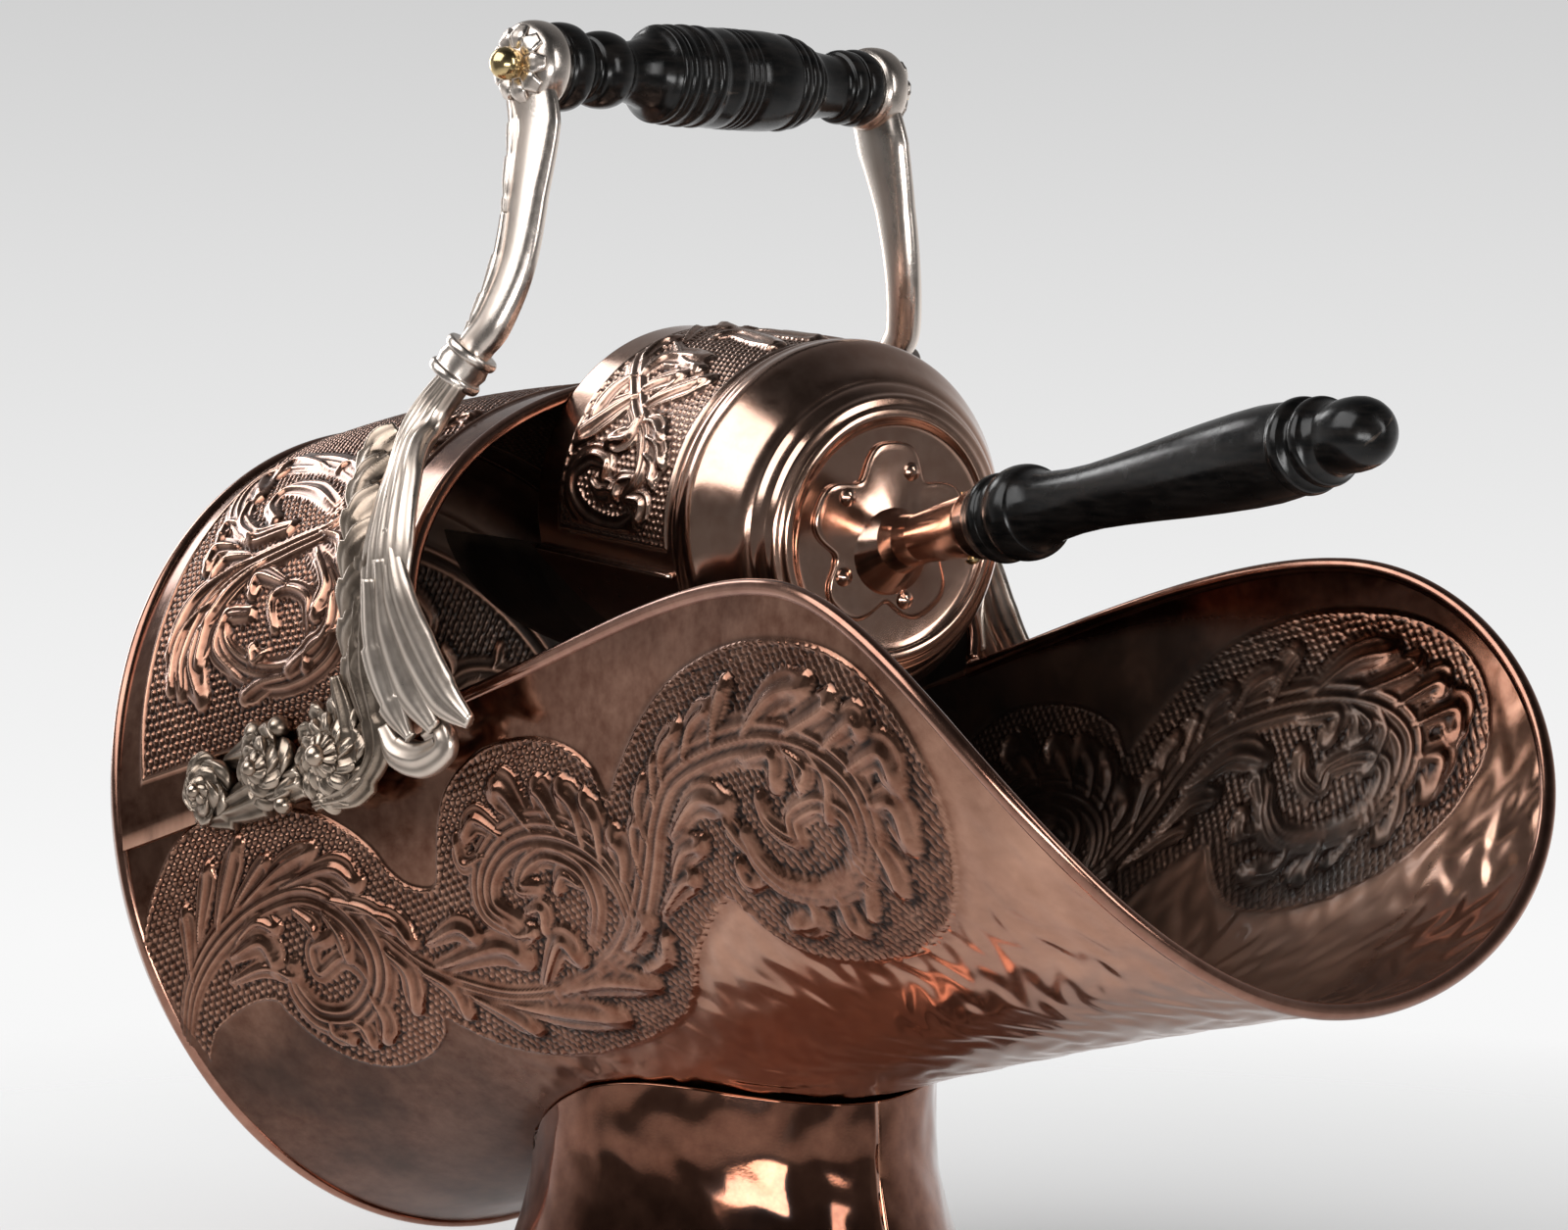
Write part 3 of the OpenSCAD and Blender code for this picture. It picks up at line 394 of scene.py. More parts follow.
def rounded(profile, passes=2):
    """The same outline with its corners cut, so that they turn softly."""
    p = np.array(profile, float)
    for _ in range(passes):
        near = mix(p[:-1], p[1:], 0.25)
        far = mix(p[:-1], p[1:], 0.75)
        p = np.vstack([p[:1], np.stack([near, far], 1).reshape(-1, 2), p[-1:]])
    return p


def bead(middle, crest, half, rise, steps=9):
    """Points of a turned bead, as [height, radius]."""
    a = np.linspace(-np.pi / 2, np.pi / 2, steps)
    return np.stack([middle + half * np.sin(a), crest - rise * (1 - np.cos(a))], 1).tolist()


# ---- embossing: strokes and pearls on a flat chart of a sheet, in millimetres ----

# how many points are measured at a time, to spare memory
chunk = 6000


def nearest_on(points, line):
    """The nearest sample of a line to each point: its number and how far it is, with its side as the sign."""
    tangent = unit(np.gradient(line, axis=0))
    number = np.empty(len(points), int)
    side = np.empty(len(points))
    for start in range(0, len(points), chunk):
        part = points[start:start + chunk]
        square = ((part[:, None] - line[None]) ** 2).sum(-1)
        k = square.argmin(1)
        away = part - line[k]
        turn = tangent[k, 0] * away[:, 1] - tangent[k, 1] * away[:, 0]
        number[start:start + chunk] = k
        side[start:start + chunk] = np.sqrt(square[np.arange(len(k)), k]) * np.where(turn < 0, -1, 1)
    return number, side


# the rise above the mean of its surroundings at which a crest is rubbed quite bright, or a crease quite dark
crest_rise = 0.75
crest_surroundings = 2.4
# how dark the pearled ground is on the whole
ground_hollow = 0.25
# the leaf height at which no pearls are left
pearl_cover = 0.8
# samples of a stroke's or a border's line are this far apart
line_step = 0.8
# shares of a lobe's half width and height from its base to its tip
lobe_widths = [0.45, 0.75, 1, 1.05, 0.75]
lobe_rises = [0.6, 0.9, 1.0, 1.1, 0.95]
# where along its path a spray's leaves start and end, and by what angles each leans out and curls away
spray_start, spray_end = 0.1, 0.95
leaf_lean = 0.7
leaf_curl = 0.5


def ridge(distance, half, height=1.0):
    """Height of a soft raised line at a distance from it."""
    return height * np.exp(-(distance / half) ** 2)


class Embossing:
    """Heights on a chart: pearled ground inside a border, and leaves on it."""

    def __init__(self, chart):
        self.chart = chart.reshape(-1, 2)
        self.form = chart.shape[:2]
        self.leaf = np.zeros(len(self.chart))
        self.line = np.zeros(len(self.chart))

    def near(self, line, reach):
        """Numbers of the chart's points in the box round a line."""
        inside = (self.chart > line.min(0) - reach) & (self.chart < line.max(0) + reach)
        return np.flatnonzero(inside.all(1))

    def stroke(self, path, widths, height, flutes, groove=0.34, rises=(0.35, 0.8, 0.9, 1.12, 0.95)):
        """A tapering ridge along a path, with hollow flutes along its back."""
        length = arc_length(np.array(path, float))[-1]
        line = smooth_path(path, max(12, int(length / line_step)))
        t = np.linspace(0, 1, len(line))
        half = spread(widths, t)
        rise = height * np.interp(t, [0, 0.12, 0.7, 0.92, 1], rises)
        near = self.near(line, half.max())
        if not len(near):
            return
        number, side = nearest_on(self.chart[near], line)
        across = side / half[number]
        body = np.sqrt(np.clip(1 - across ** 2, 0, 1))
        flute_depth = np.interp(t, [0, 0.8, 1], [1, 1, 0.2])[number]
        cut = groove * np.sin(np.pi * flutes * (across + 1) / 2) ** 2 * flute_depth
        self.leaf[near] = np.maximum(self.leaf[near], rise[number] * body * (1 - cut))

    def leaf_lobe(self, base, bend, tip, half, height):
        """A lobe of a leaf: narrow at its base, fluted, and highest where its blunt tip curls up."""
        line = smooth_path([base, bend, tip], 40)
        widths = [share * half for share in lobe_widths]
        self.stroke(line, widths, height, 2, 0.45, lobe_rises)

    def spray(self, path, leaves, side, length, width, height):
        """Leaf lobes that spring from a path on one side, pointing along it and curling away."""
        path = smooth_path(path, 200)
        for k in range(leaves):
            t = mix(spray_start, spray_end, k / (leaves - 1))
            i = int(t * (len(path) - 2))
            along = unit(path[i + 1] - path[i])
            grow = length * (0.75 + 0.35 * np.sin(np.pi * t))
            first = turn(along, side * leaf_lean * 0.5)
            last = turn(along, side * (leaf_lean + leaf_curl))
            middle = path[i] + first * grow * 0.55
            self.leaf_lobe(path[i], middle, middle + last * grow * 0.5, width, height)

    def border(self, path, half=0.8):
        """A thin raised line."""
        line = smooth_path(path, max(30, int(arc_length(np.array(path, float))[-1] / line_step)))
        near = self.near(line, 4 * half)
        _, side = nearest_on(self.chart[near], line)
        self.line[near] = np.maximum(self.line[near], ridge(side, half))

    def finish(self, ground, pitch=3.3, pearl_r=1.5, pearl_rise=0.9):
        """(heights, hollows) on the chart. ground is 1 where the sheet is pearled and 0 where it is plain."""
        ground = ground.reshape(-1)
        pearl = pearls(self.chart, pitch, pearl_r) * pearl_rise
        clear = ease(1 - self.leaf / pearl_cover)
        height = (self.leaf + self.line + ground * clear * pearl).reshape(self.form)
        proud = (height - running_mean(height, int(crest_surroundings / grain))) / crest_rise
        hollow = ground_hollow * (ground * clear).reshape(self.form) - proud
        return height, np.clip(hollow, -1, 1)


def running_mean(grid, reach):
    """The mean of a grid over a square that reaches so many cells each way."""
    for axis in (0, 1):
        grid = sum(np.roll(grid, shift, axis) for shift in range(-reach, reach + 1)) / (2 * reach + 1)
    return grid


def pearls(chart, pitch, radius):
    """Heights of small punched pearls on a staggered lattice, a little unevenly set."""
    cell = np.array([pitch, pitch * np.sqrt(3)])
    height = np.zeros(len(chart))
    for shift in (0.0, 0.5):
        place = chart / cell + shift
        index = np.round(place)
        wander = 0.05 * np.sin(index @ np.array([[12.9, 78.2], [39.3, 11.1]]) + 7 * shift)
        away = (place - index - wander) * cell
        square = (away ** 2).sum(1) / radius ** 2
        height = np.maximum(height, np.clip(1 - square, 0, 1) ** 0.8)
    return height


def inside_of(points, outline):
    """1 for points inside a closed outline, 0 for those outside."""
    x, y = points[:, 0], points[:, 1]
    inside = np.zeros(len(points), bool)
    for a, b in zip(outline, np.roll(outline, -1, axis=0)):
        if a[1] == b[1]:
            continue
        crosses = (a[1] > y) != (b[1] > y)
        inside ^= crosses & (x < a[0] + (b[0] - a[0]) * (y - a[1]) / (b[1] - a[1]))
    return inside.astype(float)


def hammer_marks(s, t, pitch):
    """Shallow, uneven dents of a hand-raised sheet, from -1 to 1."""
    a = s / pitch + 0.9 * np.sin(t / pitch / 1.7)
    b = t / pitch + 1.1 * np.sin(s / pitch / 2.1)
    return np.sin(a + 1.3 * np.sin(0.7 * b)) * np.sin(1.2 * b + 0.8 * np.sin(1.9 * a))


class PhotoChart:
    """Carries pixels of the photograph onto the chart of a sheet, by the points that face the camera."""

    def __init__(self, points, outward, chart):
        seen = (np.sum(outward * camera_back, -1) > 0.02).reshape(-1)
        self.pixels = to_photo(points.reshape(-1, 3)[seen])
        self.chart = chart.reshape(-1, 2)[seen]

    def __call__(self, pixels):
        found = []
        for pixel in pixels:
            k = ((self.pixels - pixel) ** 2).sum(1).argsort()[:3]
            found.append(self.chart[k].mean(0))
        return np.array(found)


# ---- the body's surfaces, by the part's own formulas ----

back_drop = np.array([np.sin(back_lean), 0, -np.cos(back_lean)])
back_forward = np.array([np.cos(back_lean), 0, np.sin(back_lean)])
back_centre = np.array([-182.0, 0, 200])
back_depth = back_half_height * np.cos(back_lean)


def back_point(a):
    a = np.asarray(a, float)[..., None]
    return back_centre + back_half_height * np.cos(a) * back_drop + back_half_width * np.sin(a) * leftward


keel_start = back_point(0.0)
keel_sag = (keel_slope_back - keel_slope_lip) / (2 * (lip_x - keel_start[0]))


def keel(x):
    s = x - keel_start[0]
    return keel_start[2] + keel_slope_back * s - keel_sag * s * s


def depth(x):
    return mix(back_depth, lip_depth, (x - back_centre[0]) / (lip_x - back_centre[0]))


def half_width(x):
    rearward = (waist_x - x) / (waist_x - back_centre[0])
    forward = (x - waist_x) / (ear_x - waist_x)
    behind = waist_half_width + (back_half_width - waist_half_width) * rearward ** 2
    ahead = waist_half_width + (ear_half_width - waist_half_width) * ease(forward)
    return np.where(x < waist_x, behind, ahead)


def trough_point(x, a):
    y = half_width(x) * np.sin(a)
    z = keel(x) + depth(x) * (1 - np.cos(a))
    return np.stack(np.broadcast_arrays(x, y, z), -1)


def angle_at(x, z):
    return np.arccos(np.clip(1 - (z - keel(x)) / depth(x), -1, 1))


crest = [crest_x, crest_z]
lip_z = keel(lip_x)
mouth_fall = [crest, [crest_x + 79, crest_z + 2], [lip_x - 4, lip_z + 45], [lip_x, lip_z]]
mouth_rise = [[corner_x, corner_z], [corner_x + 70, corner_z + 23], [crest_x - 50, crest_z], crest]
fall_share = 0.6


def mouth_side(m):
    """The mouth in side view as [x, z], from the lip at 0 to the corner at the hood at 1."""
    m = np.asarray(m, float)
    fall = bezier(mouth_fall, 1 - np.minimum(m / fall_share, 1) ** 1.8)
    rise = bezier(mouth_rise, np.clip((1 - m) / (1 - fall_share), 0, 1))
    return np.where((m < fall_share)[..., None], fall, rise)


def mouth_inset(m, d):
    t = unit(mouth_side(np.minimum(1, m + 0.01)) - mouth_side(np.maximum(0, m - 0.01)))
    return mouth_side(m) + d * np.stack([-t[..., 1], t[..., 0]], -1)


def mouth_point(m):
    p = mouth_side(np.abs(m))
    return trough_point(p[..., 0], np.sign(m) * angle_at(p[..., 0], p[..., 1]))


seam_angle = np.arccos((back_centre[2] - seam_back_z) / back_depth)
seam_back_x = back_point(seam_angle)[0]
rim_sink = rim_r / 2


def trough_skin(m, u):
    """The trough's middle surface, from the back at u = 0 to the wire of the mouth at 1."""
    start = back_point(np.abs(m) * seam_angle)
    start[..., 0] -= rim_sink
    end = mouth_inset(np.abs(m), rim_sink)
    x = mix(start[..., 0], end[..., 0], u)
    a = mix(angle_at(start[..., 0], start[..., 2]), angle_at(end[..., 0], end[..., 1]), u)
    return trough_point(x, np.sign(m) * a), x, a


arch_foot_angle = np.arccos((arch_spring_z - corner_z) / arch_drop)


def arch_point(a):
    power = np.where(a > np.pi / 2, 2 / arch_fullness, 1)
    high = np.where(a > np.pi / 2, arch_top_z - arch_spring_z, -arch_drop)
    z = arch_spring_z + high * np.abs(np.cos(a)) ** power
    y = arch_half_width * np.abs(np.sin(a)) ** power
    return np.stack([corner_x - (z - corner_z) * np.tan(arch_lean), y, z], -1)


def hood_loft(m, u):
    rise = 4 * hood_bow * u * (1 - u) * np.cos(np.pi / 2 * m)
    rear = back_point(mix(np.pi, seam_angle, m))
    front = arch_point(mix(np.pi, arch_foot_angle, m))
    return mix(rear, front, u[..., None]) + rise[..., None] * upward


def seam_line(u, drop):
    x = mix(seam_back_x + drop * np.tan(back_lean), corner_x, u)
    a = angle_at(x, mix(seam_back_z, corner_z, u)) - drop / waist_half_width
    return trough_point(x, a) + np.array([0, sheet + 1.6 * gap, 0])


def hood_skin(m, u):
    """The hood's middle surface: m runs from 0 at the crest to 1 at the side seam and past it for the lap."""
    side = np.abs(m)
    on = np.minimum(side, 1)
    above = hood_loft(on, u) + (seam_line(u, -1) - hood_loft(np.ones_like(u), u)) * on[..., None] ** 6
    lap = np.clip((side - 1) / 0.03, 0, 1)[..., None]
    p = mix(above, seam_line(u, seam_lap), lap)
    p[..., 1] *= np.where(m < 0, -1, 1)
    return p


# ---- ornament, drawn in the photograph's pixels ----

trough_border = [
    (146, 965), (155, 930), (166, 895), (182, 862), (212, 838), (262, 826), (315, 830), (352, 846),
    (380, 868), (400, 892), (422, 906), (446, 905), (449, 876), (450, 840), (458, 808), (476, 782),
    (502, 763), (540, 755), (575, 762), (603, 783), (622, 815), (634, 786), (652, 745), (678, 706),
    (710, 678), (755, 658), (800, 655), (845, 666), (885, 694), (922, 740), (952, 795), (969, 850),
    (975, 900), (966, 938), (940, 966), (900, 978), (850, 976), (800, 956), (768, 932), (746, 914),
    (722, 942), (712, 975), (709, 1010), (697, 1035), (665, 1056), (620, 1070), (570, 1073), (520, 1064),
    (478, 1046), (456, 1036), (456, 1052), (440, 1074), (405, 1085), (365, 1078), (325, 1056), (298, 1032),
    (284, 1018), (262, 1020), (238, 1034), (222, 1052), (216, 1078),
]
# path, half widths, height, flutes
trough_stems = [
    ([(190, 1062), (200, 1008), (224, 962), (265, 923), (312, 906), (354, 925), (384, 966), (388, 1006),
      (366, 1036), (332, 1036), (308, 1010), (302, 986)],
     [3, 6, 7.5, 7.5, 6, 3.5], 3.0, 4),
    ([(330, 912), (392, 955), (432, 985), (482, 1006), (534, 1016), (590, 1006), (634, 976), (655, 930),
      (664, 880), (670, 832), (688, 790), (730, 763), (780, 750), (830, 763), (870, 796), (891, 842),
      (887, 884), (856, 908), (812, 904), (782, 882), (764, 852)],
     [3, 4, 5, 6.5, 7, 7.5, 7, 5.5, 3.5], 3.0, 4),
    ([(652, 975), (646, 925), (624, 882), (590, 853), (550, 844), (516, 858), (498, 890), (502, 925),
      (532, 945)],
     [4, 6.5, 8, 7.5, 5], 3.0, 5),
    ([(608, 960), (612, 920), (595, 885), (562, 868), (540, 880), (534, 902), (552, 905)],
     [3, 5, 5, 4, 3], 2.9, 3),
    ([(386, 1010), (372, 985), (352, 975), (330, 990), (322, 965), (340, 955)],
     [4, 4.5, 4, 3.5, 3], 2.9, 2),
    ([(868, 905), (880, 870), (866, 832), (836, 818), (812, 832), (815, 855), (790, 838), (778, 815)],
     [4, 5, 5, 4, 3], 2.9, 3),
    ([(820, 755), (846, 790), (850, 830)],
     [3, 4, 3.5], 3.0, 2),
    ([(790, 756), (812, 775), (820, 800)],
     [2.5, 3.5, 3], 2.8, 2),
]
# where each lobe of the trough's leaves springs, bends and ends, and its half width
trough_lobes = [
    ((200, 1000), (195, 950), (192, 930), 4), ((205, 960), (212, 910), (215, 885), 4),
    ((225, 950), (235, 900), (245, 862), 5), ((240, 930), (265, 890), (275, 878), 4),
    ((250, 925), (290, 885), (320, 868), 5), ((290, 905), (340, 885), (368, 900), 5),
    ((330, 915), (375, 925), (405, 945), 4), ((350, 925), (400, 935), (425, 960), 4),
    ((245, 960), (265, 940), (285, 945), 4), ((240, 975), (270, 960), (287, 985), 6),
    ((240, 1000), (275, 985), (305, 995), 4), ((300, 925), (320, 940), (325, 950), 3.5),
    ((330, 925), (350, 950), (360, 975), 4), ((380, 1010), (395, 1035), (398, 1055), 5),
    ((395, 965), (420, 990), (428, 1025), 5), ((430, 985), (465, 1005), (480, 1030), 5),
    ((360, 1036), (375, 1045), (385, 1062), 4), ((340, 1036), (345, 1050), (362, 1058), 4),
    ((440, 960), (470, 945), (490, 955), 5), ((450, 985), (510, 965), (540, 975), 7),
    ((560, 1000), (575, 960), (595, 975), 6), ((480, 1010), (520, 1030), (550, 1048), 5),
    ((520, 1020), (580, 1030), (635, 1035), 7), ((570, 1010), (620, 1000), (668, 1000), 6),
    ((500, 870), (478, 880), (470, 855), 4), ((520, 855), (490, 835), (478, 850), 5),
    ((545, 845), (520, 810), (508, 805), 7), ((580, 850), (560, 815), (550, 802), 6),
    ((600, 865), (590, 825), (575, 803), 6), ((618, 880), (612, 840), (600, 815), 5),
    ((640, 900), (640, 870), (630, 855), 7), ((660, 900), (650, 850), (655, 835), 4),
    ((665, 860), (655, 820), (660, 795), 4), ((672, 830), (670, 790), (672, 775), 4),
    ((680, 800), (680, 765), (695, 745), 5), ((700, 780), (710, 740), (728, 722), 5),
    ((730, 762), (735, 720), (743, 700), 5), ((760, 752), (790, 710), (825, 700), 6),
    ((800, 750), (840, 725), (850, 715), 6), ((840, 765), (870, 735), (882, 742), 6),
    ((865, 785), (900, 765), (918, 795), 7), ((888, 820), (915, 820), (932, 860), 7),
    ((893, 850), (910, 880), (922, 903), 6), ((890, 880), (890, 910), (893, 930), 4),
    ((860, 905), (870, 935), (880, 945), 6), ((830, 910), (835, 935), (815, 940), 6),
    ((790, 895), (770, 900), (758, 880), 4), ((770, 870), (755, 850), (745, 835), 4),
    ((800, 760), (825, 780), (822, 800), 4), ((760, 775), (790, 768), (795, 795), 6),
    ((690, 850), (715, 815), (745, 820), 6), ((690, 900), (700, 870), (720, 860), 5),
    ((680, 930), (700, 900), (712, 895), 5), ((660, 990), (680, 975), (683, 955), 4),
    ((640, 965), (655, 955), (664, 938), 6), ((600, 905), (580, 890), (572, 905), 4),
    ((540, 930), (556, 925), (560, 945), 4), ((515, 930), (530, 950), (548, 948), 4),
]
hood_stems = [
    ([(384, 506), (345, 540), (300, 562), (250, 588), (212, 625), (192, 670), (190, 704)],
     [4, 5, 6, 7, 6, 4], 3.0, 4),
    ([(322, 560), (344, 590), (350, 628), (330, 668), (292, 690), (252, 684), (231, 660), (236, 632),
      (258, 628)],
     [5, 7.5, 8, 7, 5.5, 4, 3.5], 3.0, 4),
    ([(380, 500), (350, 478), (300, 478), (262, 500), (246, 528), (262, 550), (298, 541)],
     [4, 6, 7, 7, 5, 4], 3.0, 4),
    ([(345, 520), (326, 503), (298, 502), (280, 518), (284, 534)],
     [4, 5, 4, 3.5, 3], 2.9, 2),
    ([(318, 640), (318, 612), (300, 602), (282, 612), (284, 640)],
     [3.5, 4, 3.5, 3, 3], 3.0, 2),
    ([(400, 462), (440, 440), (495, 426)],
     [5, 6, 4], 3.0, 3),
]
hood_lobes = [
    ((277, 574), (240, 604), (213, 642), 5), ((262, 572), (205, 612), (178, 668), 5),
    ((240, 598), (216, 640), (207, 680), 6), ((225, 612), (190, 650), (179, 702), 5),
    ((214, 632), (200, 676), (210, 712), 6), ((300, 690), (270, 698), (254, 712), 5),
    ((327, 562), (338, 596), (326, 628), 5), ((346, 600), (338, 645), (300, 684), 5),
    ((250, 692), (226, 664), (236, 630), 5), ((276, 665), (264, 676), (262, 664), 4),
    ((300, 600), (270, 590), (262, 606), 5), ((352, 640), (322, 660), (317, 680), 5),
    ((330, 545), (352, 552), (352, 575), 4), ((356, 530), (368, 548), (366, 566), 4),
    ((340, 482), (310, 474), (290, 486), 6), ((300, 482), (276, 492), (268, 510), 6),
    ((262, 512), (250, 538), (262, 552), 5), ((380, 500), (366, 478), (352, 482), 5),
    ((256, 540), (238, 538), (230, 552), 5), ((246, 560), (226, 562), (216, 582), 5),
    ((262, 570), (236, 574), (222, 592), 4), ((440, 462), (458, 452), (470, 456), 5),
    ((455, 440), (476, 430), (496, 432), 5), ((405, 500), (418, 486), (424, 496), 5),
    ((430, 488), (442, 470), (452, 474), 4), ((500, 424), (520, 416), (534, 418), 4),
]
shovel_stems = [
    ([(806, 341), (742, 337), (692, 345), (657, 366), (653, 408), (661, 446), (656, 484), (641, 506)],
     [3, 4, 5, 5, 5, 4.5, 4, 3], 2.6, 3),
    ([(641, 506), (651, 526), (632, 541), (602, 530), (586, 505), (588, 480), (606, 465), (622, 472),
      (618, 488)],
     [3, 4, 4.5, 5, 5, 4.5, 4, 3.5, 3], 2.6, 2),
]
shovel_lobes = [
    ((650, 360), (630, 368), (603, 399), 5), ((652, 385), (630, 400), (610, 427), 5),
    ((655, 405), (628, 420), (592, 446), 6), ((660, 425), (645, 447), (626, 452), 5),
    ((657, 370), (672, 356), (690, 350), 5), ((655, 388), (684, 368), (718, 370), 6),
    ((657, 402), (676, 392), (700, 386), 5), ((660, 417), (690, 402), (724, 391), 5),
    ((660, 432), (672, 434), (678, 448), 4), ((662, 447), (674, 456), (678, 474), 4),
    ((660, 464), (670, 476), (668, 494), 4), ((652, 488), (636, 492), (632, 508), 4),
    ((640, 508), (658, 514), (654, 532), 4), ((606, 488), (616, 500), (630, 500), 4),
    ((700, 350), (722, 336), (745, 332), 5), ((730, 347), (760, 345), (792, 356), 5),
    ((770, 342), (805, 336), (842, 342), 5), ((690, 352), (700, 372), (716, 380), 4),
]


# Millimetres of half width to a pixel of it, over the slant at which the sheets are seen
lobe_scale = 1.2
lobe_rise = 3.4
stem_scale = 1.3


def emboss_leaves(work, on_chart, stems, lobes):
    for path, widths, height, flutes in stems:
        work.stroke(on_chart(path), stem_scale * np.array(widths), 0.95 * height, flutes, 0.5)
    for base, bend, tip, half in lobes:
        work.leaf_lobe(*on_chart([base, bend, tip]), half * lobe_scale, lobe_rise)


# ---- materials ----

class Finish:
    """A node material under construction."""

    def __init__(self, name):
        self.material = bpy.data.materials.new(name)
        self.material.use_nodes = True
        self.tree = self.material.node_tree
        self.shader = self.tree.nodes["Principled BSDF"]

    def node(self, kind, inputs=(), **settings):
        made = self.tree.nodes.new(kind)
        for key, value in settings.items():
            setattr(made, key, value)
        for key, value in dict(inputs).items():
            self.set(made.inputs[key], value)
        return made

    def set(self, socket, value):
        if isinstance(value, bpy.types.NodeSocket):
            self.tree.links.new(value, socket)
        else:
            socket.default_value = value

    def noise(self, scale, detail=4.0, roughness=0.55, stretch=(1, 1, 1)):
        place = self.node("ShaderNodeTexCoord").outputs["Object"]
        moved = self.node("ShaderNodeMapping", {"Vector": place, "Scale": stretch}).outputs["Vector"]
        made = self.node("ShaderNodeTexNoise", {
            "Vector": moved, "Scale": scale, "Detail": detail, "Roughness": roughness})
        return made.outputs["Fac"]

    def remap(self, value, low, high, to_low, to_high):
        made = self.node("ShaderNodeMapRange", {
            "Value": value, "From Min": low, "From Max": high, "To Min": to_low, "To Max": to_high})
        made.clamp = True
        return made.outputs["Result"]

    def math(self, operation, a, b):
        return self.node("ShaderNodeMath", {0: a, 1: b}, operation=operation, use_clamp=True).outputs[0]

    def blend(self, factor, a, b):
        made = self.node("ShaderNodeMix", data_type="RGBA")
        self.set(made.inputs["Factor"], factor)
        self.set(made.inputs[6], a)
        self.set(made.inputs[7], b)
        return made.outputs[2]

    def mark(self, name):
        """A number that the mesh's points carry under this name."""
        return self.node("ShaderNodeAttribute", attribute_name=name).outputs["Fac"]

    def edges(self, low=0.52, high=0.62):
        """1 on worn edges, where the surface turns sharply outward."""
        return self.remap(self.node("ShaderNodeNewGeometry").outputs["Pointiness"], low, high, 0.0, 1.0)

    def bump(self, height, distance, strength, under=None):
        made = self.node("ShaderNodeBump", {"Height": height, "Distance": distance, "Strength": strength})
        if under is not None:
            self.set(made.inputs["Normal"], under)
        return made.outputs["Normal"]


def rgb(r, g, b):
    return (r, g, b, 1.0)


# a sheet's sooty inside, and the brown that shows between the soot
soot = rgb(0.1, 0.082, 0.072)
inner_brown = rgb(0.24, 0.15, 0.11)


def metal(name, bright, body, dark, roughness, tarnish=0.45, dents=0.0, grain_size=0.00002, shade_reach=0.004,
          lacquer=0.0):
    """Patinated metal: bright where it is rubbed, dark with patina in its hollows, cloudy between, and
    darkened by painted shade from ambient occlusion where it shades itself.

    Dents, grain size and the reach of the painted occlusion shade are in metres.
    """
    f = Finish(name)
    cloud = f.noise(14, 5.0)
    fine = f.noise(160, 6.0, 0.65)
    hollow = f.mark("hollow")
    inner = f.mark("inner")
    patina_and_shade = f.math("ADD", f.remap(hollow, 0.0, 1.0, 0.0, 1.0), f.remap(cloud, 0.48, 0.78, 0.0, tarnish))
    # painted shade: ambient occlusion darkens the colour where the metal shades itself, on top of the patina
    # in its hollows and the cloudy tarnish
    occlusion_shade = f.node("ShaderNodeAmbientOcclusion", {"Distance": shade_reach}, samples=4, only_local=True)
    patina_and_shade = f.math("MAXIMUM", patina_and_shade, f.remap(occlusion_shade.outputs["AO"], 0.3, 0.9, 0.9, 0.0))
    rubbed = f.math("ADD", f.edges(), f.remap(f.noise(35, 3.0), 0.5, 0.8, 0.0, 0.3))
    rubbed = f.math("ADD", rubbed, f.remap(hollow, -1.0, 0.0, 0.9, 0.0))
    sooty = f.blend(f.remap(cloud, 0.4, 0.6, 0.0, 1.0), soot, inner_brown)
    colour = f.blend(f.remap(fine, 0.3, 0.7, 0.0, 0.3), body, bright)
    colour = f.blend(inner, colour, sooty)
    colour = f.blend(rubbed, colour, bright)
    colour = f.blend(patina_and_shade, colour, dark)
    f.set(f.shader.inputs["Base Color"], colour)
    f.shader.inputs["Metallic"].default_value = 1.0
    f.shader.inputs["Coat Weight"].default_value = lacquer
    f.shader.inputs["Coat Roughness"].default_value = 0.12
    rough = f.remap(fine, 0.3, 0.7, roughness * 0.85, roughness * 1.2)
    rough = f.math("ADD", rough, f.remap(patina_and_shade, 0.0, 1.0, 0.0, 0.3))
    rough = f.math("ADD", rough, f.remap(inner, 0.0, 1.0, 0.0, 0.25))
    f.set(f.shader.inputs["Roughness"], rough)
    surface = f.bump(f.noise(900, 3.0), grain_size, 0.6)
    if dents:
        surface = f.bump(f.noise(26, 2.0, 0.4), dents, 0.7, surface)
    f.set(f.shader.inputs["Normal"], surface)
    return f.material


def black_wood():
    """Ebonised turned wood under old wax, worn brown at its edges."""
    f = Finish("black_wood")
    streaks = f.noise(60, 6.0, 0.6, stretch=(1, 1, 6))
    scuffs = f.noise(220, 5.0, 0.7)
    worn = f.math("MULTIPLY", f.edges(0.53, 0.6), f.remap(scuffs, 0.4, 0.6, 0.0, 0.7))
    colour = f.blend(f.remap(streaks, 0.4, 0.65, 0.0, 1.0), rgb(0.003, 0.003, 0.003), rgb(0.012, 0.01, 0.009))
    colour = f.blend(worn, colour, rgb(0.1, 0.075, 0.06))
    f.set(f.shader.inputs["Base Color"], colour)
    f.set(f.shader.inputs["Roughness"], f.remap(scuffs, 0.3, 0.7, 0.14, 0.3))
    f.shader.inputs["Specular IOR Level"].default_value = 0.4
    f.set(f.shader.inputs["Normal"], f.bump(f.noise(400, 4.0, 0.7), 0.00005, 0.5))
    return f.material


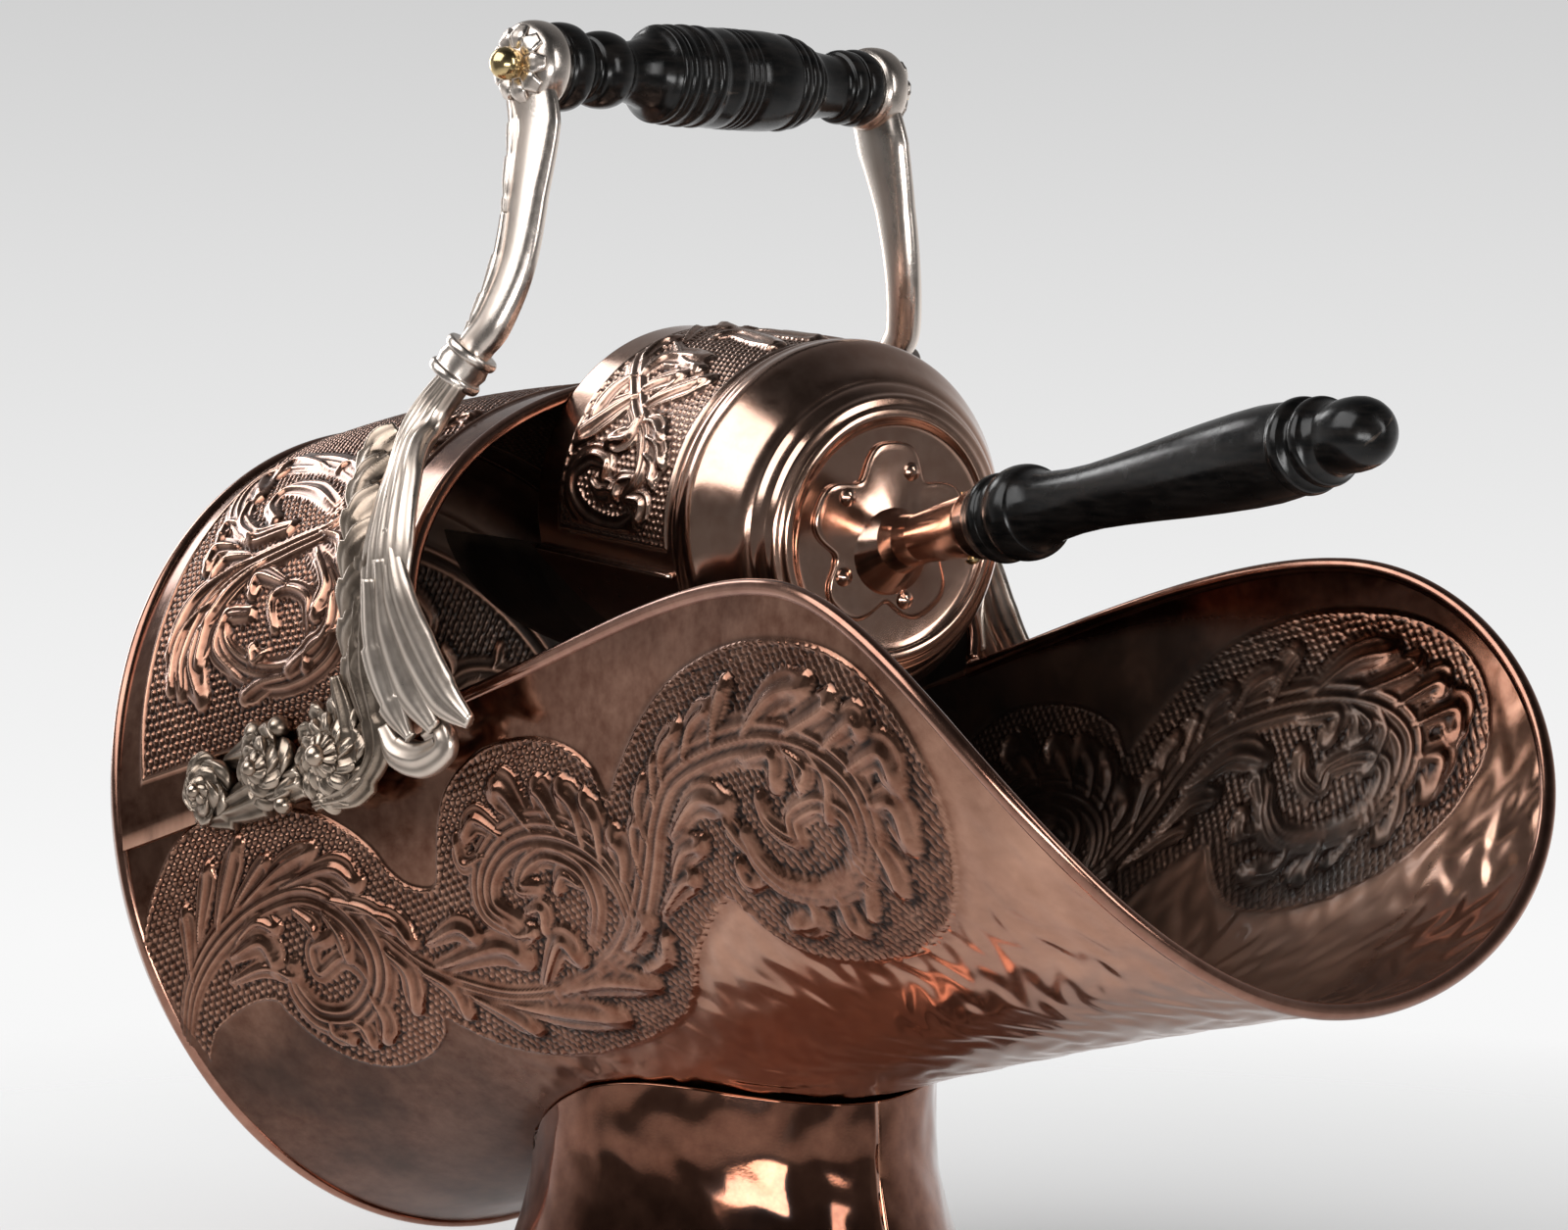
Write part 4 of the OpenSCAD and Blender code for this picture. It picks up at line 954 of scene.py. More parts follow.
def black_iron():
    """Blackened sheet, dull and streaked by coal."""
    f = Finish("black_iron")
    cloud = f.noise(30, 6.0, 0.6)
    colour = f.blend(f.remap(cloud, 0.4, 0.7, 0.0, 1.0), rgb(0.02, 0.018, 0.017), rgb(0.07, 0.05, 0.04))
    f.set(f.shader.inputs["Base Color"], f.blend(f.edges(), colour, rgb(0.16, 0.12, 0.09)))
    f.shader.inputs["Metallic"].default_value = 0.8
    f.set(f.shader.inputs["Roughness"], f.remap(cloud, 0.3, 0.7, 0.35, 0.6))
    f.set(f.shader.inputs["Normal"], f.bump(f.noise(300, 5.0, 0.7), 0.0003, 0.6))
    return f.material


body_copper = metal(
    "body_copper", bright=rgb(0.76, 0.44, 0.31), body=rgb(0.19, 0.07, 0.038), dark=rgb(0.02, 0.009, 0.006),
    roughness=0.14, tarnish=0.4, dents=0.0005, lacquer=0.25)
plain_copper = metal(
    "plain_copper", bright=rgb(0.5, 0.23, 0.14), body=rgb(0.18, 0.066, 0.038), dark=rgb(0.04, 0.017, 0.012),
    roughness=0.07, tarnish=0.4, dents=0.0016, lacquer=0.4)
wire_copper = metal(
    "wire_copper", bright=rgb(0.7, 0.42, 0.31), body=rgb(0.32, 0.145, 0.1), dark=rgb(0.08, 0.034, 0.024),
    roughness=0.17, tarnish=0.3, lacquer=0.3)
shovel_copper = metal(
    "shovel_copper", bright=rgb(0.92, 0.68, 0.56), body=rgb(0.68, 0.4, 0.29), dark=rgb(0.07, 0.033, 0.024),
    roughness=0.15, tarnish=0.3, dents=0.0003, lacquer=0.5)
# painted shade: a darkened copy of copper for the shovel's barrel, which lies in shadow below the hood's
# flange
dark_copper = metal(
    "dark_copper", bright=rgb(0.16, 0.08, 0.055), body=rgb(0.045, 0.022, 0.016),
    dark=rgb(0.012, 0.008, 0.006), roughness=0.3)
aged_brass = metal(
    "aged_brass", bright=rgb(0.98, 0.88, 0.78), body=rgb(0.74, 0.62, 0.53), dark=rgb(0.05, 0.036, 0.027),
    roughness=0.3, tarnish=0.35, grain_size=0.00005)
tarnished_brass = metal(
    "tarnished_brass", bright=rgb(0.9, 0.75, 0.62), body=rgb(0.3, 0.225, 0.17), dark=rgb(0.02, 0.014, 0.01),
    roughness=0.24, tarnish=0.6, grain_size=0.0001, shade_reach=0.006)
pale_brass = metal(
    "pale_brass", bright=rgb(0.98, 0.9, 0.83), body=rgb(0.86, 0.75, 0.67), dark=rgb(0.25, 0.19, 0.15),
    roughness=0.24, tarnish=0.3, grain_size=0.00005)
bright_brass = metal(
    "bright_brass", bright=rgb(0.9, 0.7, 0.38), body=rgb(0.72, 0.54, 0.27), dark=rgb(0.2, 0.14, 0.07),
    roughness=0.18, tarnish=0.3)
wood = black_wood()
iron = black_iron()

# ---- trough ----

# the share of the columns that goes to the plain sheet by the keel, and the share of the width they cover
keel_columns = 0.3
keel_share = 0.42
trough_girth = 245
trough_length = 400
# the chart stretches x a little for the sheet's slope, and unrolls the angle at a radius
chart_stretch = 1.05
chart_r = 150
# the underside reaches up to this angle; its colour is painted darker at the back, a painted dark reflection,
# and it is hammer-marked and painted brighter towards the mouth, a painted reflection of the floor
underside_angle = 1.45
underside_fade = 0.5
underside_sheen_x = -50
underside_sheen_fade = 90
underside_hammer_pitch = 5.5
underside_hammer_depth = 0.4
# the soot inside stops this share of the way to the mouth
soot_end = 0.94
soot_fade = 0.1


def trough_columns():
    """Columns across half the trough, closer together where it is embossed."""
    q = np.linspace(0, 1, int(trough_girth / grain))
    low = q / keel_columns * keel_share
    high = mix(keel_share, 1, (q - keel_columns) / (1 - keel_columns))
    return np.where(q < keel_columns, low, high)


def make_trough():
    m = trough_columns()
    u = np.linspace(0, 1, int(trough_length / grain))
    near, x, a = trough_skin(-m[None, :], u[:, None])
    chart = np.stack([x * chart_stretch, chart_r * a], -1)
    axis = np.stack([x, 0 * x, keel(x) + depth(x)], -1)
    outward = normals_away_from(axis, near)
    on_chart = PhotoChart(near, outward, chart)
    work = Embossing(chart)
    emboss_leaves(work, on_chart, trough_stems, trough_lobes)
    outline = smooth_path(on_chart(trough_border), 400)
    work.border(outline)
    ground = inside_of(work.chart, outline)
    rise, hollow = work.finish(ground)
    plain = 1 - ground.reshape(rise.shape)
    low = ease((underside_angle - a) / underside_fade)
    towards_mouth = ease((x - underside_sheen_x) / underside_sheen_fade)
    hammered_and_sheen = plain * low * towards_mouth
    marks = hammer_marks(chart[..., 0], chart[..., 1], underside_hammer_pitch)
    rise = rise + hammered_and_sheen * underside_hammer_depth * (marks - 1)
    # painted dark reflection: the plain underside is darkened towards the back; painted reflection of the
    # floor: the hammer-marked underside is lightened towards the mouth
    tarnish = mix(0.2, 0.6, low) * (1 - towards_mouth)
    hollow = np.maximum(hollow, plain * tarnish) - 0.5 * hammered_and_sheen
    inner = ease((soot_end - u) / soot_fade)[:, None]
    shape = sheet_shape(*both_halves(near, outward, rise, hollow), inner=inner)
    add_piece("trough_shell", shape, body_copper, "scuttle", ["trough"])


# ---- hood ----

hood_girth = 235
hood_length = 190
# the plain margins round the hood's pearled panel, and how far its pearls keep from the panel's border
hood_back_margin = 14
hood_front_margin = 21
hood_seam_margin = 13
border_clearance = 1.5


def make_hood():
    m = np.concatenate([np.linspace(0, 1, int(hood_girth / grain)), [1.03]])
    u = np.linspace(-0.008, 0.985, int(hood_length / grain))
    near = hood_skin(-m[None, :] - 1e-9, np.repeat(u[:, None], len(m), 1))
    middle = near[len(u) // 2]
    side = near[:, len(m) // 2]
    across = arc_length(middle)
    along = arc_length(side)
    s, t = np.meshgrid(along, across, indexing="ij")
    chart = np.stack([s, t], -1)
    outward = normals_away_from([-90, 0, 230], near)
    work = Embossing(chart)
    emboss_leaves(work, PhotoChart(near, outward, chart), hood_stems, hood_lobes)
    from_ends = np.minimum(s - hood_back_margin, along[-1] - hood_front_margin - s)
    inside = np.minimum(from_ends, across[-2] - hood_seam_margin - t).reshape(-1)
    work.line = ridge(inside, 1, 1.1)
    work.leaf *= ease((inside - border_clearance) / 3)
    rise, hollow = work.finish((inside > border_clearance).astype(float))
    shape = sheet_shape(*both_halves(near, outward, rise, hollow))
    add_piece("hood_shell", shape, body_copper, "scuttle", ["hood"])


# ---- back ----

# how far the dome and its ornament are set back inside a radius, so that they stay within the plate's own
back_recess = 3
back_recess_r = 154
back_recess_fade = 24
back_lines = (118, 124)
back_ground_r = 116.5
back_boss_r = 22
back_boss_rise = 3
back_leaves = 8


def make_back():
    plate_edge_r = back_half_width - edge_clearance
    flank = 2 * rim_r
    shoulder = [
        [plate_edge_r - back_shoulder * (1 - np.cos(a)), flank + (back_shoulder - flank) * np.sin(a)]
        for a in np.radians([0, 18, 36, 54, 72])
    ]
    dish = [[plate_edge_r * r, back_bulge - (back_bulge - back_shoulder) * r * r] for r in (0.6, 0.3, 0.004)]
    profile = smooth_path(np.array([[plate_edge_r + rim_sink, -gap]] + shoulder + dish), int(190 / grain))
    a = np.linspace(0, 2 * np.pi, int(900 / grain) + 1)
    out, rear = profile[:, :1], profile[:, 1:]
    y = out * np.sin(a)
    up = out * np.cos(a)
    skin = (
        back_centre
        - rear[..., None] * back_forward
        + y[..., None] * leftward
        - (up * back_half_height / back_half_width)[..., None] * back_drop
    )
    chart = np.stack([y, up], -1)
    outward = normals_away_from(back_centre + 60 * back_forward, skin)
    work = Embossing(chart)
    for c in full_turn(back_leaves):
        arm = np.array([np.sin(c), np.cos(c)])
        stem = [
            distance * turn(arm, angle)
            for distance, angle in ((24, 0), (52, 0.14), (84, 0.06), (104, -0.2), (96, -0.42), (80, -0.36))
        ]
        work.stroke(stem, [4, 8, 9, 7, 5, 4], 3.2, 3)
        work.spray(stem[:4], 5, 1, 20, 3.4, 2.6)
        work.spray(stem[:4], 4, -1, 18, 3.2, 2.6)
    r = np.hypot(y, up)
    flat_r = r.reshape(-1)
    for line_r in back_lines:
        work.line = np.maximum(work.line, ridge(flat_r - line_r, 1.1, 1.1))
    boss = back_boss_rise * np.sqrt(np.clip(1 - (flat_r / back_boss_r) ** 2, 0, 1))
    work.leaf = np.maximum(work.leaf, boss)
    rise, hollow = work.finish((r < back_ground_r).astype(float))
    rise = rise - back_recess * ease((back_recess_r - r) / back_recess_fade)
    shape = sheet_shape(skin, outward, rise, hollow)
    add_piece("back_shell", shape, body_copper, "scuttle", ["back_plate"])


# ---- wires ----

def make_wires():
    m = np.linspace(-0.97, 0.97, 261)
    back = back_point(full_turn(240)) - edge_clearance * back_forward
    mouth = mouth_point(np.linspace(-1, 1, 481))
    arch = hood_skin(m, np.ones_like(m))
    for name, node, path, closed in (
        ("back_wire", "back_rim", back, True),
        ("mouth_wire", "mouth_rim", mouth, False),
        ("arch_wire", "hood_rim", arch, False),
    ):
        shape = Shape()
        tube(shape, path, rim_r, closed)
        add_piece(name, shape, wire_copper, "scuttle", [node])


# ---- foot ----

# the shares of the rows that go to the foot's neck and to its flare
neck_share = 0.3
flare_share = 1 - neck_share
foot_hammer_pitch = 8
foot_hammer_depth = 0.3


def make_foot():
    """The spun foot, its neck let into the trough from below."""
    bead_middle = foot_bead_r * 0.8
    line = [
        [foot_neck_r, foot_flare_top],
        [foot_neck_r, foot_flare_top * 0.66],
        [mix(foot_neck_r, foot_base_r, 0.4), foot_flare_top * 0.38],
        [foot_base_r - foot_bead_r, bead_middle],
    ]
    a = np.linspace(0, 2 * np.pi, 241)
    x = foot_neck_r * np.cos(a)
    y = foot_neck_r * np.sin(a)
    top = keel(x) + depth(x) * (1 - np.sqrt(1 - (y / half_width(x)) ** 2)) - 2 * sheet
    rows = []
    for t in np.linspace(0, 1, 100):
        if t < flare_share:
            r, z = bezier(line, 1 - t / flare_share)
        else:
            r, z = foot_neck_r, mix(foot_flare_top, top, (t - flare_share) / neck_share)
        rows.append(np.stack([r * np.cos(a), r * np.sin(a), np.minimum(z, top)], -1))
    skin = np.array(rows)
    height = skin[..., 2]
    outward = normals_away_from(skin * upward, skin)
    marks = hammer_marks(foot_neck_r * a[None, :], height, foot_hammer_pitch)
    rise = foot_hammer_depth * (marks - 1) * ease(height / 25)
    shape = sheet_shape(skin - outward * foot_wall / 2, outward, rise, 0.0, foot_wall)
    add_piece("foot_shell", shape, plain_copper, "scuttle", ["foot"])


# ---- bail ----

# how far the cast bracket's middle stands from the middle plane, at heights
bracket_line = [
    (200, 152), (244, 149.7), (276, 150.7), (296, 152.7), (316, 153.7),
    (335, 148.3), (347, 139.3), (359, 128.3), (372, 119.5), (391, 115.3),
]


def side_of(z):
    """The y of the near bracket's middle at a height."""
    heights, distances = zip(*bracket_line)
    return -np.interp(z, heights, distances)


collar_at = grip_centre + [-12, -(grip_half + gap + boss_depth / 2 + 23), -113]
collar_axis = unit(np.array([11.0, 7, 17]))
collar_face = collar_length / 2 + gap
boss_middle = grip_half + gap + boss_depth / 2


def blade(shape, path, widths, depths, flutes, groove, sides, steps, side=leftward, ragged=0):
    """A cast limb or leaf: a tapering bar along a smooth path, with fluted faces and ragged edges."""
    line = smooth_path(path, steps)
    t = np.linspace(0, 1, steps)
    wide_r = spread(widths, t) * (1 - 0.3 * (ragged * t % 1) ** 2)
    deep_r = spread(depths, t)
    tangent = unit(np.gradient(line, axis=0))
    wide = unit(np.cross(tangent, side))
    deep = np.cross(tangent, wide)
    a = full_turn(sides)
    cut = np.sin(np.pi * flutes * (np.cos(a) + 1) / 2) ** 2
    body = np.sin(a) * (1 - groove * cut)
    points = (
        line[:, None]
        + wide[:, None] * (np.cos(a)[None, :] * wide_r[:, None])[..., None]
        + deep[:, None] * (body[None, :] * deep_r[:, None])[..., None]
    )
    hollow = np.repeat((0.5 * cut ** 5)[None, :], steps, 0)
    index = shape.grid(points, hollow, closed=True, flip=True)
    shape.cap(index[0], points[0], flip=True)
    shape.cap(index[-1], points[-1])


bracket_limbs = [
    # path in the photograph, half widths, half depths, how far it stands out, flutes, groove, ragged lobes
    ([(474, 384), (450, 415), (430, 450), (413, 500), (402, 555), (398, 610), (404, 655), (418, 700)],
     [6.5, 8, 10.5, 13.5, 15, 14, 11, 7], [6.6, 6.6, 6, 5, 4.4, 4, 4, 3], 3, 6, 0.12, 0),
    ([(408, 540), (416, 605), (436, 660), (462, 708), (490, 736)],
     [4, 9, 10.5, 9, 3], [2.5, 3.4, 3.4, 3, 2], 5, 3, 0.14, 0),
    ([(400, 570), (408, 640), (428, 700), (455, 742)], [4, 8, 9, 3.5], [2.5, 3.4, 3.2, 2], 5.5, 2, 0.16, 0),
    ([(390, 590), (396, 660), (412, 715), (432, 752)], [4, 8, 8, 3], [2.5, 3.4, 3.2, 2], 6, 2, 0.16, 3),
    ([(398, 742), (410, 766), (434, 775), (456, 762), (452, 744), (438, 750)],
     [3.5, 7, 7, 6, 4.5, 3], [5, 6, 6, 5, 4, 3], 1, 2, 0.2, 0),
]
bracket_leaflets = [
    # base, bend and tip of each
    ((412, 440), (388, 462), (370, 500)), ((404, 466), (378, 492), (362, 532)),
    ((398, 500), (372, 526), (358, 566)), ((394, 535), (368, 562), (355, 604)),
    ((390, 572), (366, 602), (354, 644)), ((388, 610), (366, 642), (357, 684)),
    ((388, 648), (370, 680), (365, 722)), ((402, 540), (384, 574), (376, 620)),
    ((400, 592), (382, 628), (380, 676)),
]
# as the bracket's limbs, darker and lower
garland_limbs = [
    ([(384, 545), (376, 620), (374, 680), (386, 735), (388, 772), (366, 806), (328, 820)],
     [3, 9, 11, 10, 8, 7, 3], [3, 3.6, 4, 4, 4, 4, 3], 2, 3, 0.3, 4),
    ([(350, 690), (362, 745), (358, 785), (338, 805)], [3, 8, 8, 3], [3, 4, 4, 3], 3, 2, 0.3, 3),
    ([(312, 792), (272, 808), (240, 824), (208, 834)], [8, 10, 9, 5], [6, 8, 8, 5], 0, 3, 0.3, 3),
    ([(290, 756), (262, 768), (236, 776)], [5, 8, 4], [4, 6, 3], 1, 2, 0.3, 2),
]
garland_heads = [
    # place from the flower's middle, radius, height, leaves, twist
    ([0, 0, 0], flower_r * 1.05, 12, petals - 1, 1.0),
    ([-39, -2.5, -7], 16.5, 11, 6, 1.9),
    ([-74, -5, -18], 14.5, 9, 5, -2.2),
]
garland_berries = [
    # place in the photograph, radius
    ((291, 741), 4.5), ((268, 748), 5), ((296, 820), 4), ((222, 778), 4),
]


def from_side(pixels, proud):
    """Points of the near bracket, from the photograph, standing out from its middle."""
    points = from_photo(pixels, side_of)
    points[:, 1] -= proud
    return points


def add_limbs(shape, limbs):
    for path, widths, depths, proud, flutes, groove, ragged in limbs:
        blade(shape, from_side(path, proud), widths, depths, flutes, groove, 72, 60, ragged=ragged)


def make_bracket():
    """The near bracket's leaf work, drawn on the photograph, then mirrored for the far one."""
    leaf = Shape()
    add_limbs(leaf, bracket_limbs)
    add_pair("bracket", "leaf", leaf, aged_brass)
    garland = Shape()
    add_limbs(garland, garland_limbs)
    for pixels in bracket_leaflets:
        path = from_side(pixels, [2, 4, 1])
        blade(garland, path, [5, 8.5, 8, 1.2], [2, 1.9, 1.6, 1], 2, 0.3, 40, 30, ragged=2)
    for offset, radius, height, leaves, twist in garland_heads:
        rosette(garland, flower_at + offset, radius, height, leaves, twist)
    for pixel, radius in garland_berries:
        ball(garland, from_side([pixel], 3)[0], radius)
    add_pair("bracket", "garland", garland, tarnished_brass)


def ball(shape, centre, radius, steps=18, sides=36):
    v = np.linspace(0.02, np.pi - 0.02, steps)[:, None]
    a = full_turn(sides)[None, :]
    out = np.sin(v)
    points = centre + radius * np.stack([out * np.cos(a), -np.cos(v) + 0 * a, out * np.sin(a)], -1)
    index = shape.grid(points, closed=True)
    shape.cap(index[0], points[0])
    shape.cap(index[-1], points[-1], flip=True)


def rosette(shape, centre, radius, height, leaves, twist, tiers=3):
    """A ruffled head that faces out of the side: tiers of leaves wound round its eye, clefts between them."""
    s = np.linspace(0, 1, 90)[:, None]
    a = full_turn(300)[None, :]
    tier = np.floor(s * tiers)
    within = s * tiers - tier
    wave = np.abs(np.sin(leaves / 2 * (a + twist * s) + 1.1 * tier)) ** 0.7
    vein = 0.5 + 0.5 * np.cos(leaves * 3 * (a + twist * s) + 3.3 * tier)
    out = radius * (1 - s) ** 0.85 * (0.8 + 0.26 * wave)
    curl = np.sin(np.pi * within) ** 0.6
    ruffle = 0.24 * curl * (0.4 + 0.6 * wave) * (1 - 0.5 * s)
    rise = height * (0.15 + 0.75 * s + ruffle - 0.05 * vein * (1 - s))
    hollow = np.clip(1.25 - wave, 0, 1) * 0.8 + 0.5 * (1 - curl) - 0.6
    back = centre + np.stack([0.75 * radius * np.cos(a), 5 + 0 * a, 0.75 * radius * np.sin(a)], -1)
    front = centre + np.stack([out * np.cos(a), -rise, out * np.sin(a)], -1)
    points = np.concatenate([back, front])
    index = shape.grid(points, np.concatenate([hollow[:1], hollow]), closed=True)
    shape.cap(index[0], points[0])
    ball(shape, centre - [0, height * 0.92, 0], radius * 0.2)


# the leaf that hugs the arm's outer edge, as two lapping lengths: shares of the arm's path and half widths
bail_leaves = [
    ((0.05, 0.44), [3, 5, 5, 2]),
    ((0.38, 0.8), [3, 5, 4.5, 2]),
]


boss_leaves = 9


def make_arm():
    """The near arm of the bail with its boss, then mirrored."""
    shape = Shape()
    stations = grip_centre - boss_middle * leftward + [
        [0, 0, -boss_r / 2],
        [4, -1, -24],
        [6, -6, -49],
        [5.5, -11, -75],
        [0, -17, -96],
    ]
    end = collar_at + (collar_face + 3) * collar_axis
    path = np.vstack([stations, end, end - 6 * collar_axis])
    widths = [12.5, 13.5, 10, 8.5, 7.8, 7.4, 7.2]
    depths = [6, 6, 6, 6.2, 6.6, 6.6, 6.6]
    blade(shape, path, widths, depths, 1, 0.08, 48, 90)
    profile = [
        [0, boss_r - 2.4],
        [2, boss_r],
        [boss_depth * 0.6, boss_r],
        [boss_depth * 0.8, boss_r * 0.86],
        [boss_depth * 0.95, boss_r * 0.55],
        [boss_depth, ball_r - 1],
    ]
    boss_at = grip_centre - (grip_half + gap) * leftward
    turned(shape, rounded(profile), boss_at, -leftward)
    face = boss_at - boss_depth * leftward
    for a in full_turn(boss_leaves):
        out = np.array([np.cos(a), 0, np.sin(a)])
        leaf = [face + out * 6 + [0, 1, 0], face + out * 10.5 - [0, -0.6, 0], face + out * 14.5 + [0, 3.4, 0]]
        blade(shape, leaf, [2, 4.2, 2.6], [1.6, 2, 1.6], 1, 0.4, 14, 14)
    line = smooth_path(path, 200)
    for (first, last), widths in bail_leaves:
        chosen = np.linspace(first, last, 7) * (len(line) - 1)
        points = line[chosen.astype(int)] + [-6.5, -3.5, 0]
        blade(shape, points, widths, [3, 3.6, 3.2, 1.4], 2, 0.4, 28, 60, ragged=4)
    add_pair("bail_arm", "cast", shape, pale_brass)


def make_collar():
    half = collar_length / 2
    waist_r = collar_r - 1.4
    profile = [[-half, 7]] + bead(-half + 2, collar_r, 2, 1.2)
    profile += [[-half + 4.6, waist_r], [0, collar_r - 0.7], [half - 4.6, waist_r]]
    profile += bead(half - 2, collar_r, 2, 1.2) + [[half, 7]]
    shape = Shape()
    turned(shape, profile, collar_at, collar_axis)
    add_pair("collar", "ring", shape, pale_brass, crease=True)


def make_ball_nut():
    neck = 3.6
    centre = grip_centre - (grip_half + 2 * gap + boss_depth + neck) * leftward
    a = np.linspace(-0.6, np.pi / 2, 24)
    dome = np.stack([ball_r * np.sin(a), ball_r * np.cos(a)], 1)
    shape = Shape()
    turned(shape, [[-neck, 3.8], *dome], centre, -leftward, 64)
    add_pair("ball_nut", "knob", shape, bright_brass)


def make_grip():
    shoulder = grip_r * 0.95
    end = grip_half
    profile = [[-end, 15.6]] + bead(-end + 6, 17, 5, 1.4) + [[-end + 14, 11.4], [-end + 18, 11]]
    profile += bead(-57, 15, 8, 3.4) + [[-46, 11.6], [-43, 11.8], [-34, 14], [-31, 17.6]]
    profile += bead(-28, shoulder + 0.2, 2, 0.8) + bead(-23, shoulder + 0.6, 2, 0.8)
    profile += bead(-16, grip_r, 2, 0.7) + bead(-9, grip_r, 2, 0.7)
    for k in range(4):
        profile += [[3 + 3 * k, grip_r - 0.1], [4 + 3 * k, grip_r - 0.7], [5 + 3 * k, grip_r - 0.1]]
    profile += [[30, grip_r - 0.2]] + bead(37, shoulder + 0.4, 2, 0.8) + bead(42, shoulder - 0.6, 2, 0.8)
    profile += bead(46.5, shoulder - 2.4, 1.8, 0.7) + [[51, 14.4], [53, 13.8], [68, 12]]
    profile += bead(end - 12, 15, 3.5, 1.2) + bead(end - 4.5, 15.6, 4, 1.2) + [[end, 14.4]]
    shape = Shape()
    turned(shape, rounded(profile, 1), grip_centre, leftward, 128)
    add_piece("grip_turning", shape, wood, "grip", ["grip"])


# ---- shovel ----

shovel_yaw = np.radians(-9.6)
shovel_dip = np.radians(5)
shovel_out = np.array([
    np.cos(shovel_dip) * np.cos(shovel_yaw), np.cos(shovel_dip) * np.sin(shovel_yaw), -np.sin(shovel_dip)])
shovel_up = np.array([
    np.sin(shovel_dip) * np.cos(shovel_yaw), np.sin(shovel_dip) * np.sin(shovel_yaw), np.cos(shovel_dip)])
shovel_left = np.cross(shovel_up, shovel_out)
hood_back = shovel_hood_length + 5.6
touch_angle = np.radians(-55.6)
arch_touch_y = 41
arch_touch_angle = np.pi - np.arcsin((arch_touch_y / arch_half_width) ** (arch_fullness / 2))
arch_touch = arch_point(arch_touch_angle) * mirror
shovel_origin = (
    arch_touch + edge_clearance * unit(np.array([0.96, 0.14, -0.2])) + hood_back * shovel_out
    - barrel_r * (np.cos(touch_angle) * shovel_up + np.sin(touch_angle) * shovel_left)
)
plate_face = end_depth + gap + 1.6
handle_axis = np.cos(handle_angle) * shovel_out + np.sin(handle_angle) * shovel_up
handle_start = shovel_origin + plate_face * shovel_out - handle_drop * shovel_up


def round_shovel(s, r, a):
    """Points of the shovel, s along its axis to the handle, r out and a round from the top to the left.

    Their directions out of the axis come with them.
    """
    s, r, a = np.broadcast_arrays(s, r, a)
    ring = np.cos(a)[..., None] * shovel_up + np.sin(a)[..., None] * shovel_left
    return shovel_origin + s[..., None] * shovel_out + r[..., None] * ring, ring


shovel_back_margin = 17
shovel_front_margin = 9
shovel_side_margin = 10
# the moulding along each lower edge of the shovel's hood
moulding_half = [1.1, 1.1]
moulding_depth = [2.2, 2.2]
moulding_proud = 1.2


def make_shovel_hood():
    half = np.pi / 2 + part_angle
    skin_r = barrel_r - shovel_sheet / 2
    a = np.linspace(-half, 0, int(half * barrel_r / (0.8 * grain)))
    s = np.linspace(-hood_back, 1, int(hood_back / (0.8 * grain)))
    along, angle = np.meshgrid(s, a, indexing="ij")
    near, outward = round_shovel(along, skin_r, angle)
    chart = np.stack([along, angle * barrel_r], -1)
    work = Embossing(chart)
    emboss_leaves(work, PhotoChart(near, outward, chart), shovel_stems, shovel_lobes)
    from_ends = np.minimum(along + hood_back - shovel_back_margin, -shovel_front_margin - along)
    inside = np.minimum(from_ends, (angle + half) * barrel_r - shovel_side_margin).reshape(-1)
    work.line = ridge(inside, 0.9, 0.9)
    work.leaf *= ease((inside - 1) / 3) * 0.9
    rise, hollow = work.finish((inside > 1.2).astype(float), pitch=3.2, pearl_r=1.2, pearl_rise=0.7)
    far, far_outward = round_shovel(along, skin_r, -angle)
    halves = (near, far), (outward, far_outward), (rise, rise), (hollow, hollow)
    whole = [np.concatenate([right, left[:, -2::-1]], 1) for right, left in halves]
    shape = sheet_shape(*whole, shovel_sheet)
    for edge_angle in (-half, half):
        stations = np.linspace(-hood_back, -4, 30)
        path, edge_outward = round_shovel(stations, barrel_r + moulding_proud, edge_angle)
        blade(shape, path, moulding_half, moulding_depth, 1, 0, 16, 30, side=edge_outward[0])
    add_piece("shovel_hood_shell", shape, shovel_copper, "shovel", ["shovel_hood"])


def make_shovel_end():
    """The spun end: a lip over the barrel, a shoulder in shallow steps and a raised ring round the flat."""
    centre_r = 0.02
    lip = [[-3, barrel_r + gap + shovel_sheet], [0, barrel_r + 2.6], [3, barrel_r + 2.2], [8, end_r]]
    shoulder = [
        [along, end_r - drop]
        for along, drop in (
            (13, 0.8), (18, 4), (23, 7.6), (27.5, 10.6), (30, 13), (31, 15), (33, 15.6), (35, 17.4),
            (36, 18.6), (end_depth, 19.2),
        )
    ]
    ring = [
        [end_depth + proud, end_flat_r + beyond]
        for proud, beyond in ((0.8, 6), (2.4, 5), (2.6, 1.5), (0, 0))
    ]
    shape = Shape()
    outer = rounded(lip + shoulder + ring + [[end_depth, centre_r]])
    inner = outer[::-1] - [shovel_sheet, shovel_sheet]
    inner[:, 1] = np.maximum(inner[:, 1], centre_r)
    profile = np.vstack([outer, inner[:1], inner])
    points, _ = round_shovel(profile[:, :1], profile[:, 1:], full_turn(160)[None, :])
    shape.grid(np.concatenate([points, points[:1]]), closed=True)
    add_piece("shovel_end_spinning", shape, shovel_copper, "shovel", ["shovel_end"])


plate_lobes = 5
plate_lobe_turn = np.radians(18)
# share of the plate's radius, height and darkness of its rings, from the rim to the middle
plate_rows = [
    (1.0, 0.0, 0.0), (1.0, 1.1, 0.3), (0.965, 1.6, 0.0), (0.9, 1.55, 0.1), (0.82, 1.6, 0.0), (0.6, 2.2, 0.0),
    (0.45, 3.2, 0.0), (0.3, 4.2, 0.0), (0.02, 4.4, 0.0),
]


